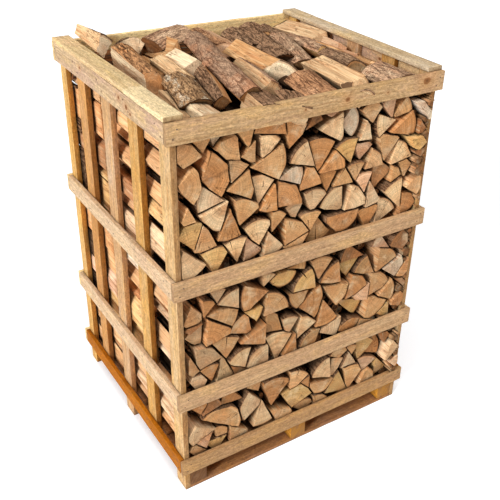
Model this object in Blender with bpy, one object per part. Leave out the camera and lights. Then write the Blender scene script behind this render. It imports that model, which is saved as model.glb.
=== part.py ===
"""Slatted crate on a block pallet, filled with split oak firewood.

Metres, +Z up, +X to the right along the front, +Y to the back. The origin is on the ground, in the
middle of the crate. The whole object is one rigid body: boards nailed together, logs stacked inside.
"""

import math

import bmesh
import bpy
from mathutils import Euler, Vector

# ---- driving dimensions (metres, degrees) ---------------------------------------------------------
CRATE_WIDTH = 1.150
CRATE_DEPTH = 1.056
RIM_HEIGHT = 1.598
GAP = 0.0003
EDGE_BREAK = 0.0015

RAIL_THICK = 0.018
SLAT_THICK = 0.022
SLAT_WIDTH = 0.080
BACK_SLAT_WIDTH = 0.062
BACK_LEAN = math.radians(1.9)
LEAN_START = 0.103

# Rails from the ground up: name, underside, top.
RAIL_LEVELS = (
    ("base", 0.103, 0.173),
    ("lower", 0.440, 0.516),
    ("upper", 0.947, 1.020),
    ("rim", 1.524, RIM_HEIGHT),
)

# Upright slats from the front to the back: name, front edge at the ground, lean, foot height.
SLATS = (
    ("front_corner", None, 0.0, 0.0),
    ("front_slat", -0.252, 0.6, 0.105),
    ("middle_slat", 0.004, 1.6, 0.0),
    ("back_slat", 0.262, 2.4, 0.105),
)
RIGHT_SHIFT = -0.022

CAP_WIDTH = 0.069
CAP_THICK = 0.017
CAP_FRONT = -0.513
CAP_BACK = 0.4745
CAP_JOINT = 0.320
CAP_JOG = 0.004

RUNNER_THICK = 0.016
RUNNER_WIDTH = 0.100
BLOCK_WIDTH = 0.077
BLOCK_HEIGHT = 0.078
DECK_THICK = 0.018
STRINGER_WIDTH = 0.095
DECK_BOARDS = 5
DECK_BOARD_WIDTH = 0.145
PALLET_BACK = 0.500

LOG_ROWS = ("front", "middle", "back")
ROW_GAP = 0.002
HEAP_TOP = 1.594
ARC_SEGMENTS = 8

# ---- measures worked out from them ---------------------------------------------------------------
HALF_WIDTH = CRATE_WIDTH / 2
HALF_DEPTH = CRATE_DEPTH / 2
SLAT_OUTER = HALF_WIDTH - RAIL_THICK - GAP
SLAT_INNER = SLAT_OUTER - SLAT_THICK
INNER_HALF = SLAT_INNER - GAP
INNER_FRONT = -HALF_DEPTH + RAIL_THICK + GAP
DECK_TOP = RUNNER_THICK + BLOCK_HEIGHT + 2 * DECK_THICK + 3 * GAP
CAP_TOP = RIM_HEIGHT + GAP + CAP_THICK


def back_outer(height):
    """Y of the back frame's outer face at a height: the frame leans forward."""
    return HALF_DEPTH - (height - LEAN_START) * math.tan(BACK_LEAN)


def back_inner(height):
    """Y of the back rails' inner face at a height."""
    return back_outer(height) - RAIL_THICK


# ---- materials -----------------------------------------------------------------------------------
def wood(name, colour, roughness=0.8):
    """A plain wood material."""
    material = bpy.data.materials.new(name)
    material.use_nodes = True
    shader = material.node_tree.nodes["Principled BSDF"]
    shader.inputs["Base Color"].default_value = (*colour, 1.0)
    shader.inputs["Roughness"].default_value = roughness
    shader.inputs["Metallic"].default_value = 0.0
    return material


# ---- shape helpers -------------------------------------------------------------------------------
def add_object(name, mesh, centre, material):
    """Put a mesh in the scene as a named object at its own place."""
    mesh.materials.append(material)
    obj = bpy.data.objects.new(name, mesh)
    obj.location = centre
    bpy.context.scene.collection.objects.link(obj)
    return obj


def prism_mesh(name, outline, axis, length):
    """A closed prism: an outline in the two other axes, run along the named axis.

    The outline's points are (y, z) for axis X and (x, z) for axis Y, about the middle of the piece.
    """
    bm = bmesh.new()
    half = length / 2
    if axis == "X":
        corners = [Vector((-half, u, v)) for u, v in outline]
        run = Vector((length, 0, 0))
    else:
        corners = [Vector((u, -half, v)) for u, v in outline]
        run = Vector((0, length, 0))
    face = bm.faces.new([bm.verts.new(corner) for corner in corners])
    grown = bmesh.ops.extrude_face_region(bm, geom=[face])
    moved = [item for item in grown["geom"] if isinstance(item, bmesh.types.BMVert)]
    bmesh.ops.translate(bm, verts=moved, vec=run)
    bmesh.ops.recalc_face_normals(bm, faces=bm.faces)
    mesh = bpy.data.meshes.new(name)
    bm.to_mesh(mesh)
    bm.free()
    return mesh


def break_edges(obj, width=EDGE_BREAK):
    """Take the sharpness off a sawn piece's edges."""
    bevel = obj.modifiers.new("edge break", "BEVEL")
    bevel.width = width
    bevel.segments = 1
    bevel.limit_method = "ANGLE"
    bevel.angle_limit = math.radians(30)


def prism(name, outline, axis, start, end, material, bevel=EDGE_BREAK):
    """A prism between two positions along its axis, from an outline in world coordinates."""
    middle_u = (min(u for u, v in outline) + max(u for u, v in outline)) / 2
    middle_v = (min(v for u, v in outline) + max(v for u, v in outline)) / 2
    local = [(u - middle_u, v - middle_v) for u, v in outline]
    mesh = prism_mesh(name, local, axis, end - start)
    middle = (start + end) / 2
    centre = (middle, middle_u, middle_v) if axis == "X" else (middle_u, middle, middle_v)
    obj = add_object(name, mesh, centre, material)
    if bevel:
        break_edges(obj, bevel)
    return obj


def board(name, low, high, material, bevel=EDGE_BREAK):
    """A straight sawn board between two opposite corners."""
    outline = [(low[1], low[2]), (high[1], low[2]), (high[1], high[2]), (low[1], high[2])]
    return prism(name, outline, "X", low[0], high[0], material, bevel)


# ---- the pallet ----------------------------------------------------------------------------------
def build_pallet(material):
    """Three runners, nine blocks, three stringers and five deck boards."""
    side = INNER_HALF
    backs = (INNER_FRONT + RUNNER_WIDTH, (INNER_FRONT + PALLET_BACK + RUNNER_WIDTH) / 2, PALLET_BACK)
    lefts = (-side, -BLOCK_WIDTH / 2, side - BLOCK_WIDTH)
    block_low = RUNNER_THICK + GAP
    block_high = block_low + BLOCK_HEIGHT
    for row, back in zip(LOG_ROWS, backs):
        board(f"runner_{row}", (-side, back - RUNNER_WIDTH, 0.0), (side, back, RUNNER_THICK), material)
        for column, left in zip(("left", "middle", "right"), lefts):
            board(f"block_{row}_{column}", (left, back - RUNNER_WIDTH, block_low),
                  (left + BLOCK_WIDTH, back, block_high), material)

    stringer_low = block_high + GAP
    stringer_high = stringer_low + DECK_THICK
    stringer_lefts = (-side, -STRINGER_WIDTH / 2, side - STRINGER_WIDTH)
    for column, left in zip(("left", "middle", "right"), stringer_lefts):
        board(f"stringer_{column}", (left, INNER_FRONT, stringer_low),
              (left + STRINGER_WIDTH, PALLET_BACK, stringer_high), material)

    deck_low = stringer_high + GAP
    pitch = (PALLET_BACK - INNER_FRONT - DECK_BOARD_WIDTH) / (DECK_BOARDS - 1)
    for index in range(DECK_BOARDS):
        front = INNER_FRONT + index * pitch
        board(f"deck_board_{index + 1}", (-side, front, deck_low),
              (side, front + DECK_BOARD_WIDTH, deck_low + DECK_THICK), material)


# ---- the side frames -----------------------------------------------------------------------------
def leaning_outline(front_at_ground, width, lean, foot, top):
    """A slat seen from the side: level ends, edges leaning forward as they rise."""
    slope = math.tan(lean)
    low = front_at_ground - foot * slope
    high = front_at_ground - top * slope
    return [(low, foot), (low + width, foot), (high + width, top), (high, top)]


def build_side(side, sign, slat_material, rail_materials, cap_material):
    """Five upright slats inside four rails, with a cap board on the rim."""
    inner, outer = sorted((sign * SLAT_INNER, sign * SLAT_OUTER))
    slat_top = RIM_HEIGHT - GAP
    shift = RIGHT_SHIFT if sign > 0 else 0.0
    for name, front, lean, foot in SLATS:
        edge = INNER_FRONT if front is None else front + shift
        outline = leaning_outline(edge, SLAT_WIDTH, math.radians(lean), foot, slat_top)
        prism(f"{side}_{name}", outline, "X", inner, outer, slat_material)
    back_edge = back_inner(0.0) - GAP - BACK_SLAT_WIDTH
    outline = leaning_outline(back_edge, BACK_SLAT_WIDTH, BACK_LEAN, 0.0, slat_top)
    prism(f"{side}_back_corner", outline, "X", inner, outer, slat_material)

    inner, outer = sorted((sign * (SLAT_OUTER + GAP), sign * HALF_WIDTH))
    for (level, low, high), material in zip(RAIL_LEVELS, rail_materials):
        outline = [(INNER_FRONT, low), (back_inner(low) - GAP, low),
                   (back_inner(high) - GAP, high), (INNER_FRONT, high)]
        prism(f"{side}_rail_{level}", outline, "X", inner, outer, material)

    cap_low = RIM_HEIGHT + GAP
    if sign < 0:
        board("cap_left", (-HALF_WIDTH, CAP_FRONT, cap_low),
              (-HALF_WIDTH + CAP_WIDTH, CAP_BACK, CAP_TOP), cap_material)
        return
    board("cap_right_long", (HALF_WIDTH - CAP_WIDTH - CAP_JOG, CAP_FRONT, cap_low),
          (HALF_WIDTH - CAP_JOG, CAP_JOINT, CAP_TOP), cap_material)
    board("cap_right_short", (HALF_WIDTH - CAP_WIDTH, CAP_JOINT + GAP, cap_low),
          (HALF_WIDTH, CAP_BACK, CAP_TOP), cap_material)


# ---- the front and back rails --------------------------------------------------------------------
def build_front_and_back(materials):
    """Four rails across the front, four across the leaning back."""
    for (level, low, high), material in zip(RAIL_LEVELS, materials):
        board(f"front_rail_{level}", (-HALF_WIDTH, -HALF_DEPTH, low),
              (HALF_WIDTH, -HALF_DEPTH + RAIL_THICK, high), material)
        outline = [(back_inner(low), low), (back_outer(low), low),
                   (back_outer(high), high), (back_inner(high), high)]
        prism(f"back_rail_{level}", outline, "X", -HALF_WIDTH, HALF_WIDTH, material)


# ---- the top logs --------------------------------------------------------------------------------
# Name, middle of the log (x, y, z), length, radius of the round side, opening angle of the wedge,
# then roll about its own length (0 is bark up), pitch (far end up) and yaw (far end to the left).
TOP_LOGS = (
    ("log_pale_corner", (-0.438, 0.352, 1.586), 0.190, 0.105, 90, 60, 7, -3, "split"),
    ("log_cracked_brown", (-0.395, 0.075, 1.556), 0.320, 0.110, 95, 38, 0, 2, "bark"),
    ("log_lichen_bark", (-0.345, -0.265, 1.548), 0.310, 0.082, 170, 4, 0, 4, "bark"),
    ("log_purple_back", (-0.140, 0.110, 1.596), 0.330, 0.058, 175, 10, 3, -9, "bark"),
    ("log_purple_front", (-0.196, -0.238, 1.606), 0.330, 0.056, 175, -8, 3, -13, "bark"),
    ("log_rough_bark", (0.205, 0.290, 1.550), 0.290, 0.094, 165, 6, 0, -12, "bark"),
    ("log_round_end", (0.085, -0.030, 1.556), 0.310, 0.092, 130, -34, 2, -10, "bark"),
    ("log_flat_pale", (0.232, -0.340, 1.570), 0.310, 0.078, 150, 168, -1, 3, "split"),
)


def log_outline(radius, opening):
    """The end of a split log: two split faces from the heart, and the round bark side on top."""
    half = math.radians(opening) / 2
    arc = [(radius * math.sin(half - step * 2 * half / ARC_SEGMENTS),
            radius * math.cos(half - step * 2 * half / ARC_SEGMENTS)) for step in range(ARC_SEGMENTS + 1)]
    points = arc if opening >= 170 else arc + [(0.0, 0.0)]
    middle = (min(v for u, v in points) + max(v for u, v in points)) / 2
    return [(u, v - middle) for u, v in points]


def build_top_logs(materials):
    """The eight logs that lie on the heap; returns the box that each one takes up."""
    boxes = []
    for name, centre, length, radius, opening, roll, pitch, yaw, finish in TOP_LOGS:
        mesh = prism_mesh(name, log_outline(radius, opening), "Y", length)
        obj = add_object(name, mesh, centre, materials[finish])
        turn = Euler((math.radians(pitch), math.radians(roll), math.radians(-yaw)), "YXZ")
        obj.rotation_mode = "YXZ"
        obj.rotation_euler = turn
        corners = [turn.to_matrix() @ vertex.co + Vector(centre) for vertex in mesh.vertices]
        low = [min(corner[axis] for corner in corners) for axis in range(3)]
        high = [max(corner[axis] for corner in corners) for axis in range(3)]
        boxes.append((low, high))
    return boxes


# ---- the stacked rows ----------------------------------------------------------------------------
def heap_outline(front, back, boxes):
    """The row's end outline: level at the heap's top, cut down where a top log lies over it."""
    side = INNER_HALF
    over = [(max(low[0] - GAP, -side), min(high[0] + GAP, side), low[2] - GAP)
            for low, high in boxes if low[1] < back and high[1] > front]
    stops = sorted({-side, side, *(left for left, _, _ in over), *(right for _, right, _ in over)})
    points = [(side, DECK_TOP + GAP), (-side, DECK_TOP + GAP)]
    points.reverse()
    top = []
    for left, right in zip(stops, stops[1:]):
        middle = (left + right) / 2
        height = min([HEAP_TOP] + [floor for start, end, floor in over if start < middle < end])
        if top and abs(top[-1][1] - height) < 1e-9:
            top[-1] = (right, height)
        else:
            top += [(left, height), (right, height)]
    return points + top[::-1]


def build_rows(boxes, material):
    """One solid for each row of stacked logs, out to the tips of its logs."""
    back_limit = back_inner(HEAP_TOP) - GAP
    pitch = (back_limit - INNER_FRONT + ROW_GAP) / len(LOG_ROWS)
    for index, row in enumerate(LOG_ROWS):
        front = INNER_FRONT + index * pitch
        back = front + pitch - ROW_GAP
        outline = heap_outline(front, back, boxes)
        prism(f"log_row_{row}", outline, "Y", front, back, material, bevel=0.0)


# ---- assembly ------------------------------------------------------------------------------------
def main():
    """Build the whole object in an empty scene."""
    for obj in list(bpy.data.objects):
        bpy.data.objects.remove(obj, do_unlink=True)

    old_wood = wood("pallet wood", (0.42, 0.27, 0.17))
    slat_wood = wood("slat wood", (0.80, 0.58, 0.32))
    cap_wood = wood("cap wood", (0.78, 0.62, 0.40))
    cream = wood("cream rail wood", (0.80, 0.65, 0.46))
    orange = wood("orange rail wood", (0.74, 0.43, 0.15))
    split = wood("split oak", (0.76, 0.58, 0.38))
    bark = wood("oak bark", (0.26, 0.17, 0.12), roughness=0.9)

    build_pallet(old_wood)
    build_side("left", -1, slat_wood, (orange, cream, cream, cap_wood), cap_wood)
    build_side("right", 1, slat_wood, (orange, cream, cream, cap_wood), cap_wood)
    build_front_and_back((cream, cream, cream, cap_wood))
    boxes = build_top_logs({"split": split, "bark": bark})
    build_rows(boxes, split)


main()
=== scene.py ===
"""Looks of a slatted crate filled with split oak firewood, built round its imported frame.

The boards of the crate and pallet, the three stacked rows of logs and the loose logs on top are
meshes that stand for the frame's plain solids. Metres, +Z up, +X to the right along the front.
"""

import logging
import math
from dataclasses import dataclass, field
from enum import Enum
from typing import Callable, Sequence

import bpy
import numpy as np
from mathutils import Matrix, Vector


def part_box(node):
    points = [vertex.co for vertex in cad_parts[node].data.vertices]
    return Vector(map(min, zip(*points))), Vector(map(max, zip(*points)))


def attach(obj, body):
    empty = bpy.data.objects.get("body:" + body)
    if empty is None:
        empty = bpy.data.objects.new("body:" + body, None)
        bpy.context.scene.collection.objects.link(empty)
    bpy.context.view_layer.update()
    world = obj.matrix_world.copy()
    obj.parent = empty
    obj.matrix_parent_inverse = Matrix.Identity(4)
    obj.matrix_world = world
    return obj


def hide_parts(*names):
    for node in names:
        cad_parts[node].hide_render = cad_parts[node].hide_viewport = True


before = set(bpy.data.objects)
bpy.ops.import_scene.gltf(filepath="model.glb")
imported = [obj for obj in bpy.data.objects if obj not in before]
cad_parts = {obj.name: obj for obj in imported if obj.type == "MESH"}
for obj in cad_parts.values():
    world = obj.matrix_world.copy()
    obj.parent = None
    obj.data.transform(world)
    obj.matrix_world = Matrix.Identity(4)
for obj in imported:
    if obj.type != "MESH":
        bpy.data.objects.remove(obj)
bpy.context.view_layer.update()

LOG = logging.getLogger("firewood_crate")
BODY = "root"
CM = 0.01
# Shift of the grain from log to log.
GRAIN_STEP = 0.731
X_AXIS, Y_AXIS, Z_AXIS = (1, 0, 0), (0, 1, 0), (0, 0, 1)
LEVELS = ("base", "lower", "upper", "rim")

Colour = tuple[float, float, float]
Place = tuple[float, float, float]
Box = tuple[float, float, float, float]
Array = np.ndarray
Random = np.random.Generator
Material = bpy.types.Material
Piece = bpy.types.Object


def tint(*screen: int) -> Colour:
    """Turn a screen colour, from 0 to 255, into the linear values that a shader takes."""
    return tuple((c / 255 / 12.92) if c < 11 else ((c / 255 + 0.055) / 1.055) ** 2.4 for c in screen)


def times(colour: Colour, *factors: float) -> Colour:
    """Multiply a colour by one factor, or by one for each of its values."""
    return tuple(value * factor for value, factor in zip(colour, factors * len(colour)))


class Tone(Enum):
    """Colour of freshly split oak, from log to log, and a dark tone of painted shade."""

    BRIGHT = tint(242, 218, 180)
    # Painted shade: a dark tone for the sticks and logs that fill the gaps.
    DARK = tint(58, 38, 26)
    CREAM = tint(227, 189, 143)
    TAN = tint(210, 161, 110)
    ORANGE = tint(202, 144, 92)
    YELLOW = tint(218, 173, 110)
    PINK = tint(217, 171, 134)
    GREY = tint(215, 191, 160)
    BROWN = tint(153, 107, 70)


class Cut(Enum):
    """Which surface of a log a face belongs to, in the order of its material slots."""

    END = 0
    SPLIT = 1
    BARK = 2


# ---- node trees ----
def adds_node(operation: str) -> Callable[..., "Value"]:
    """Make a method that adds a math node.

    Args:
        operation: The node's operation.

    Returns:
        The method.
    """
    def method(first: "Value", *others: object) -> "Value":
        """Work the operation out on this value and the others."""
        return first.nodes.work(operation, first, *others)
    return method


class Value:
    """A number, vector or colour inside a node tree. Arithmetic on it adds nodes to the tree."""

    __add__, __sub__, __mul__, __truediv__ = map(adds_node, ("ADD", "SUBTRACT", "MULTIPLY", "DIVIDE"))
    __lt__, __gt__, __abs__ = map(adds_node, ("LESS_THAN", "GREATER_THAN", "ABSOLUTE"))
    highest, ceiling, angle = map(adds_node, ("MAXIMUM", "CEIL", "ARCTAN2"))

    def __init__(self, nodes: "Nodes", socket: bpy.types.NodeSocket) -> None:
        """Take up one output of a node."""
        self.nodes, self.socket = nodes, socket
        self.wide = socket.type in ("VECTOR", "RGBA")

    def parts(self) -> list["Value"]:
        """The three numbers of a vector."""
        first = self.nodes.node("ShaderNodeSeparateXYZ", {0: self})
        return [Value(self.nodes, socket) for socket in first.socket.node.outputs]

    def length(self) -> "Value":
        """The length of a vector."""
        return self.nodes.node("ShaderNodeVectorMath", {0: self}, 1, operation="LENGTH")

    def ease(self, low: object, high: object, start: float = 0.0, end: float = 1.0) -> "Value":
        """Ease a number from start to end as it goes from low to high."""
        return self.nodes.node("ShaderNodeMapRange", dict(enumerate((self, low, high, start, end))),
                               interpolation_type="SMOOTHSTEP")

    def line(self, width: float) -> "Value":
        """A thin line, 1 in its middle, wherever a number crosses a half."""
        return abs(self - 0.5).ease(0.0, width, 1, 0)

    def noise(self, scale: float | Colour = 1.0, detail: float = 3.0, rough: float = 0.55,
              distortion: float = 0.0) -> "Value":
        """Soft random variation from place to place, about 0.5 on average.

        Args:
            scale: How fine it is, as one number or three.
            detail: How many finer layers it has.
            rough: How strong the finer layers are.
            distortion: How far the pattern is bent.

        Returns:
            The number.
        """
        place, scale = (self * scale, 1.0) if isinstance(scale, tuple) else (self, scale)
        return self.nodes.node("ShaderNodeTexNoise", {
            "Vector": place, "Scale": scale, "Detail": detail, "Roughness": rough,
            "Distortion": distortion})

    def cells(self, output: str = "Distance") -> "Value":
        """Distance to, or the random colour of, the nearest of many scattered points."""
        return self.nodes.node("ShaderNodeTexVoronoi", {"Vector": self, "Scale": 1.0}, output)

    def mix(self, share: "Value", other: object) -> "Value":
        """Mix another colour in, by a share from 0 to 1."""
        return self.nodes.mix(share, self, other)

    def paint_crevice_shade(self, reach: float, dark: float) -> "Value":
        """Darken a colour where other wood is close: painted shade in the crevices, found by an ambient
        occlusion node.

        Args:
            reach: How close the other wood has to be, in metres.
            dark: What a closed place keeps of the colour.

        Returns:
            The colour.
        """
        open_sky = self.nodes.node("ShaderNodeAmbientOcclusion", {"Distance": reach}, "AO", samples=6)
        return self * open_sky.ease(0.10, 0.85, dark, 1.0)


class Nodes:
    """A node tree that is written as plain arithmetic."""

    tree: bpy.types.NodeTree

    def put(self, socket: bpy.types.NodeSocket, value: object) -> None:
        """Link a value into an input, or set the input to a plain one.

        Args:
            socket: The input.
            value: The value, number, vector, colour or name.
        """
        if isinstance(value, Value):
            self.tree.links.new(value.socket, socket)
        elif isinstance(value, tuple) and len(socket.default_value) > len(value):
            socket.default_value = (*value, 1.0)
        else:
            socket.default_value = value

    def node(self, kind: str, sockets: dict[str | int, object] | None = None,
             output: str | int = 0, **settings: object) -> Value:
        """Add a node.

        Args:
            kind: The node's type.
            sockets: Values for its inputs, by name or index.
            output: The wanted output's name or index.
            settings: Values for the node's own settings.

        Returns:
            The output.
        """
        node = self.tree.nodes.new(kind)
        for label, value in settings.items():
            setattr(node, label, value)
        for key, value in (sockets or {}).items():
            self.put(node.inputs[key], value)
        return Value(self, node.outputs[output])

    def work(self, operation: str, first: Value, *others: object) -> Value:
        """Work out a number, or a vector if the first value is one.

        Args:
            operation: The math node's operation.
            first: The first value.
            others: The other values.

        Returns:
            The result.
        """
        kind = "ShaderNodeVectorMath" if first.wide else "ShaderNodeMath"
        sockets = dict(enumerate((first, *others)))
        if first.wide and operation == "MULTIPLY" and not isinstance(others[0], tuple):
            operation, sockets = "SCALE", {0: first, "Scale": others[0]}
        return self.node(kind, sockets, operation=operation)

    def pack(self, *numbers: object) -> Value:
        """Make a vector from up to three numbers."""
        return self.node("ShaderNodeCombineXYZ", dict(enumerate(numbers)))

    def mix(self, share: Value, first: object, second: object) -> Value:
        """Mix two colours by a share from 0 to 1."""
        return self.node("ShaderNodeMix", {0: share, 6: first, 7: second}, 2, data_type="RGBA")


class ShaderSheet(Nodes):
    """A material, with the nodes before its shader."""

    def __init__(self, name: str, roughness: float, specular: float = 0.3) -> None:
        """Start a material with a Principled shader.

        Args:
            name: The material's name.
            roughness: The shader's own roughness.
            specular: The shader's specular level.
        """
        self.material = bpy.data.materials.new(name)
        self.material.use_nodes = True
        self.tree = self.material.node_tree
        self.set({"Roughness": roughness, "Specular IOR Level": specular})

    def set(self, sockets: dict[str, object]) -> None:
        """Put values into the shader's own inputs."""
        for name, value in sockets.items():
            self.put(self.tree.nodes["Principled BSDF"].inputs[name], value)

    def attribute(self, name: str, output: str = "Vector") -> Value:
        """Read one of the piece's own attributes."""
        return self.node("ShaderNodeAttribute", output=output, attribute_name=name)

    def finish(self, colour: object, height: Value | None = None, strength: float = 0.3,
               depth: float = 0.001) -> Material:
        """Connect the colour and the surface relief.

        Args:
            colour: The surface's colour.
            height: How high each place stands, if the surface isn't smooth.
            strength: How strong the relief is.
            depth: The height of 1, in metres.

        Returns:
            The material.
        """
        self.set({"Base Color": colour})
        if height is not None:
            relief = {"Strength": strength, "Distance": depth, "Height": height}
            self.set({"Normal": self.node("ShaderNodeBump", relief)})
        return self.material


# ---- finishes ----
@dataclass(frozen=True)
class BoardFinish:
    """Sawn softwood board: growth lines, knots, saw marks and end grain.

    Attributes:
        name: Name of the finish and its materials.
        pale: Colour of the early wood.
        dark: Colour of the growth lines.
        stain: Colour of the patches.
        stained: How far the patches go, from 0 to 1.
        knots: Share of the places for a knot that have one.
        contrast: How strong the growth lines are.
        marks: Further knots, each as its place along and across from the board's middle, and its
            radius, in metres.
        shaded_edge_from: Distance from the middle to the narrow faces, if painted shade darkens those.
        edge: What those faces keep of the red, green and blue, under that painted shade.
        pale_below: Place along the board, from its middle, below which a painted highlight makes it
            paler.
    """

    name: str
    pale: Colour
    dark: Colour
    stain: Colour
    stained: float
    knots: float
    contrast: float
    marks: tuple[Place, ...] = ()
    shaded_edge_from: float = 1.0
    edge: Colour = (0.62, 0.62, 0.62)
    pale_below: float = -9.0

    GREASE, CREASE, SPECK = tint(120, 92, 66), tint(120, 80, 46), tint(108, 72, 42)
    # Pale colour of the painted highlight, and dirt on the sawn ends.
    PLANED, END_DIRT = tint(246, 224, 180), tint(132, 96, 66)
    KNOT_HALO, KNOT, KNOT_CORE = tint(172, 110, 58), tint(128, 78, 40), tint(70, 42, 24)
    SUNNY, SUN_PLACE = (1.22, 1.16, 0.92), (3.1, 7.7, 1.3)

    def side(self) -> Material:
        """Make the long faces: grain, knots, saw marks, sun and handling, with painted shade on the
        narrow faces and in the crevices, and a painted highlight towards one end.

        Returns:
            The finished material.
        """
        sheet = ShaderSheet(self.name, roughness=0.85, specular=0.12)
        grain = sheet.attribute("grain")
        along, across, thick = grain.parts()
        spot_along, spot_across, _ = sheet.attribute("board").parts()

        knot_place = grain * (4.6, 5.4, 0.6)
        edge = grain.noise((60, 60, 20), detail=2)
        gap = knot_place.cells() + (edge * 0.03 - 0.015)
        present = knot_place.cells("Color").parts()[0] < self.knots
        knot = present * gap.ease(0.034, 0.056, 1, 0)
        core = present * gap.ease(0.0, 0.036, 1, 0)
        swirl = present * gap.ease(0.0, 0.24, 1, 0)
        for middle, height, radius in self.marks:
            offset = sheet.pack((spot_along - middle) * 0.8, spot_across - height)
            away = edge * (0.25 * radius) + offset.length()
            knot = knot.highest(away.ease(radius, 1.35 * radius, 1, 0))
            core = core.highest(away.ease(0.3 * radius, 0.8 * radius, 0.7, 0))
            swirl = swirl.highest(away.ease(radius, 5 * radius, 1, 0))

        warp = grain.noise((1.7, 9, 9), detail=2)
        bend = warp * 0.05 + swirl * 0.022
        lines = sheet.pack(along * 0.9, (across + bend) * 120, (thick + bend) * 40)
        lines = lines.noise().ease(0.36, 0.68)
        fibre = grain.noise((16, 380, 380), rough=0.6)
        patch = grain.noise((4.5, 13, 13), detail=5, rough=0.7).ease(0.42, 0.66)
        dirt = grain.noise((22, 60, 60), detail=4, rough=0.7).ease(0.58, 0.80)
        saw = grain.noise((260, 9, 9), detail=1)
        streak = grain.noise((13, 110, 110), detail=5, rough=0.7, distortion=0.3)
        sun = (grain * (6, 17, 17) + self.SUN_PLACE).noise(detail=4, rough=0.7)
        highlight_edge = sun * 0.20 + (spot_along - 0.10)
        mottle = grain.noise((52, 105, 105), detail=4, rough=0.8)
        crease = grain.noise((6, 170, 170), detail=2, distortion=0.2).line(0.020)
        speck = grain.noise((70, 190, 190), rough=0.7).ease(0.60, 0.70)
        glint = grain.noise((110, 230, 230), rough=0.75)
        # Painted shade: the narrow faces of a slat take a darker edge colour.
        narrow = abs(spot_across).ease(self.shaded_edge_from - 0.0022, self.shaded_edge_from - 0.0006, 0, 0.9)

        colour = sheet.mix(lines * self.contrast, self.pale, self.dark)
        colour = colour.mix(patch * self.stained, self.stain).mix(dirt * 0.30, self.GREASE)
        colour = colour.mix(sun.ease(0.50, 0.66, 0, 0.55), times(self.pale, *self.SUNNY))
        colour = colour * streak.ease(0.28, 0.72, 0.93, 1.09)
        colour = colour.mix(streak.ease(0.42, 0.28, 0, 0.30), times(self.dark, 0.80))
        # Painted highlight: below a wavy line along the board the colour is mixed towards a pale one.
        colour = colour.mix(highlight_edge.ease(self.pale_below - 0.01, self.pale_below + 0.01, 0.55, 0),
                            self.PLANED)
        colour = colour * mottle.ease(0.38, 0.62, 0.82, 1.14)
        colour = colour.mix(crease * warp.ease(0.40, 0.60, 0.08, 0.42), self.CREASE)
        colour = colour * fibre.ease(0.30, 0.70, 0.84, 1.14) * (saw * 0.20 + 0.90)
        colour = colour.mix(speck * 0.60, self.SPECK) * glint.ease(0.36, 0.64, 0.84, 1.13)
        colour = colour.mix(swirl * 0.30, self.KNOT_HALO)
        colour = colour.mix(knot * 0.80, self.KNOT).mix(core * 0.75, self.KNOT_CORE)
        # Painted shade in the crevices, and on the narrow faces of the slats.
        colour = colour.mix(narrow, colour * self.edge).paint_crevice_shade(0.030, 0.45)
        return sheet.finish(colour, fibre * 0.6 + saw * 0.5 - lines * 0.5, strength=0.45, depth=0.0012)

    def end(self) -> Material:
        """Make the sawn ends, with the rings of the tree.

        Returns:
            The finished material.
        """
        sheet = ShaderSheet(f"{self.name}_end", roughness=0.85)
        place = sheet.attribute("grain")
        along, across, thick = place.parts()
        ring = place.noise(30, detail=2) * 0.012 + sheet.pack(0.0, across, thick + 0.09).length()
        rings = sheet.pack(ring * 330, along).noise(detail=1)
        fuzz = place.noise(420)
        colour = sheet.mix(rings.ease(0.35, 0.65, 0.1, 0.8), self.pale, self.dark)
        colour = colour.mix(place.noise(45).ease(0.4, 0.75, 0.1, 0.7), self.END_DIRT)
        return sheet.finish(colour * (fuzz * 0.5 + 0.62), fuzz, strength=0.5, depth=0.0015)


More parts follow.
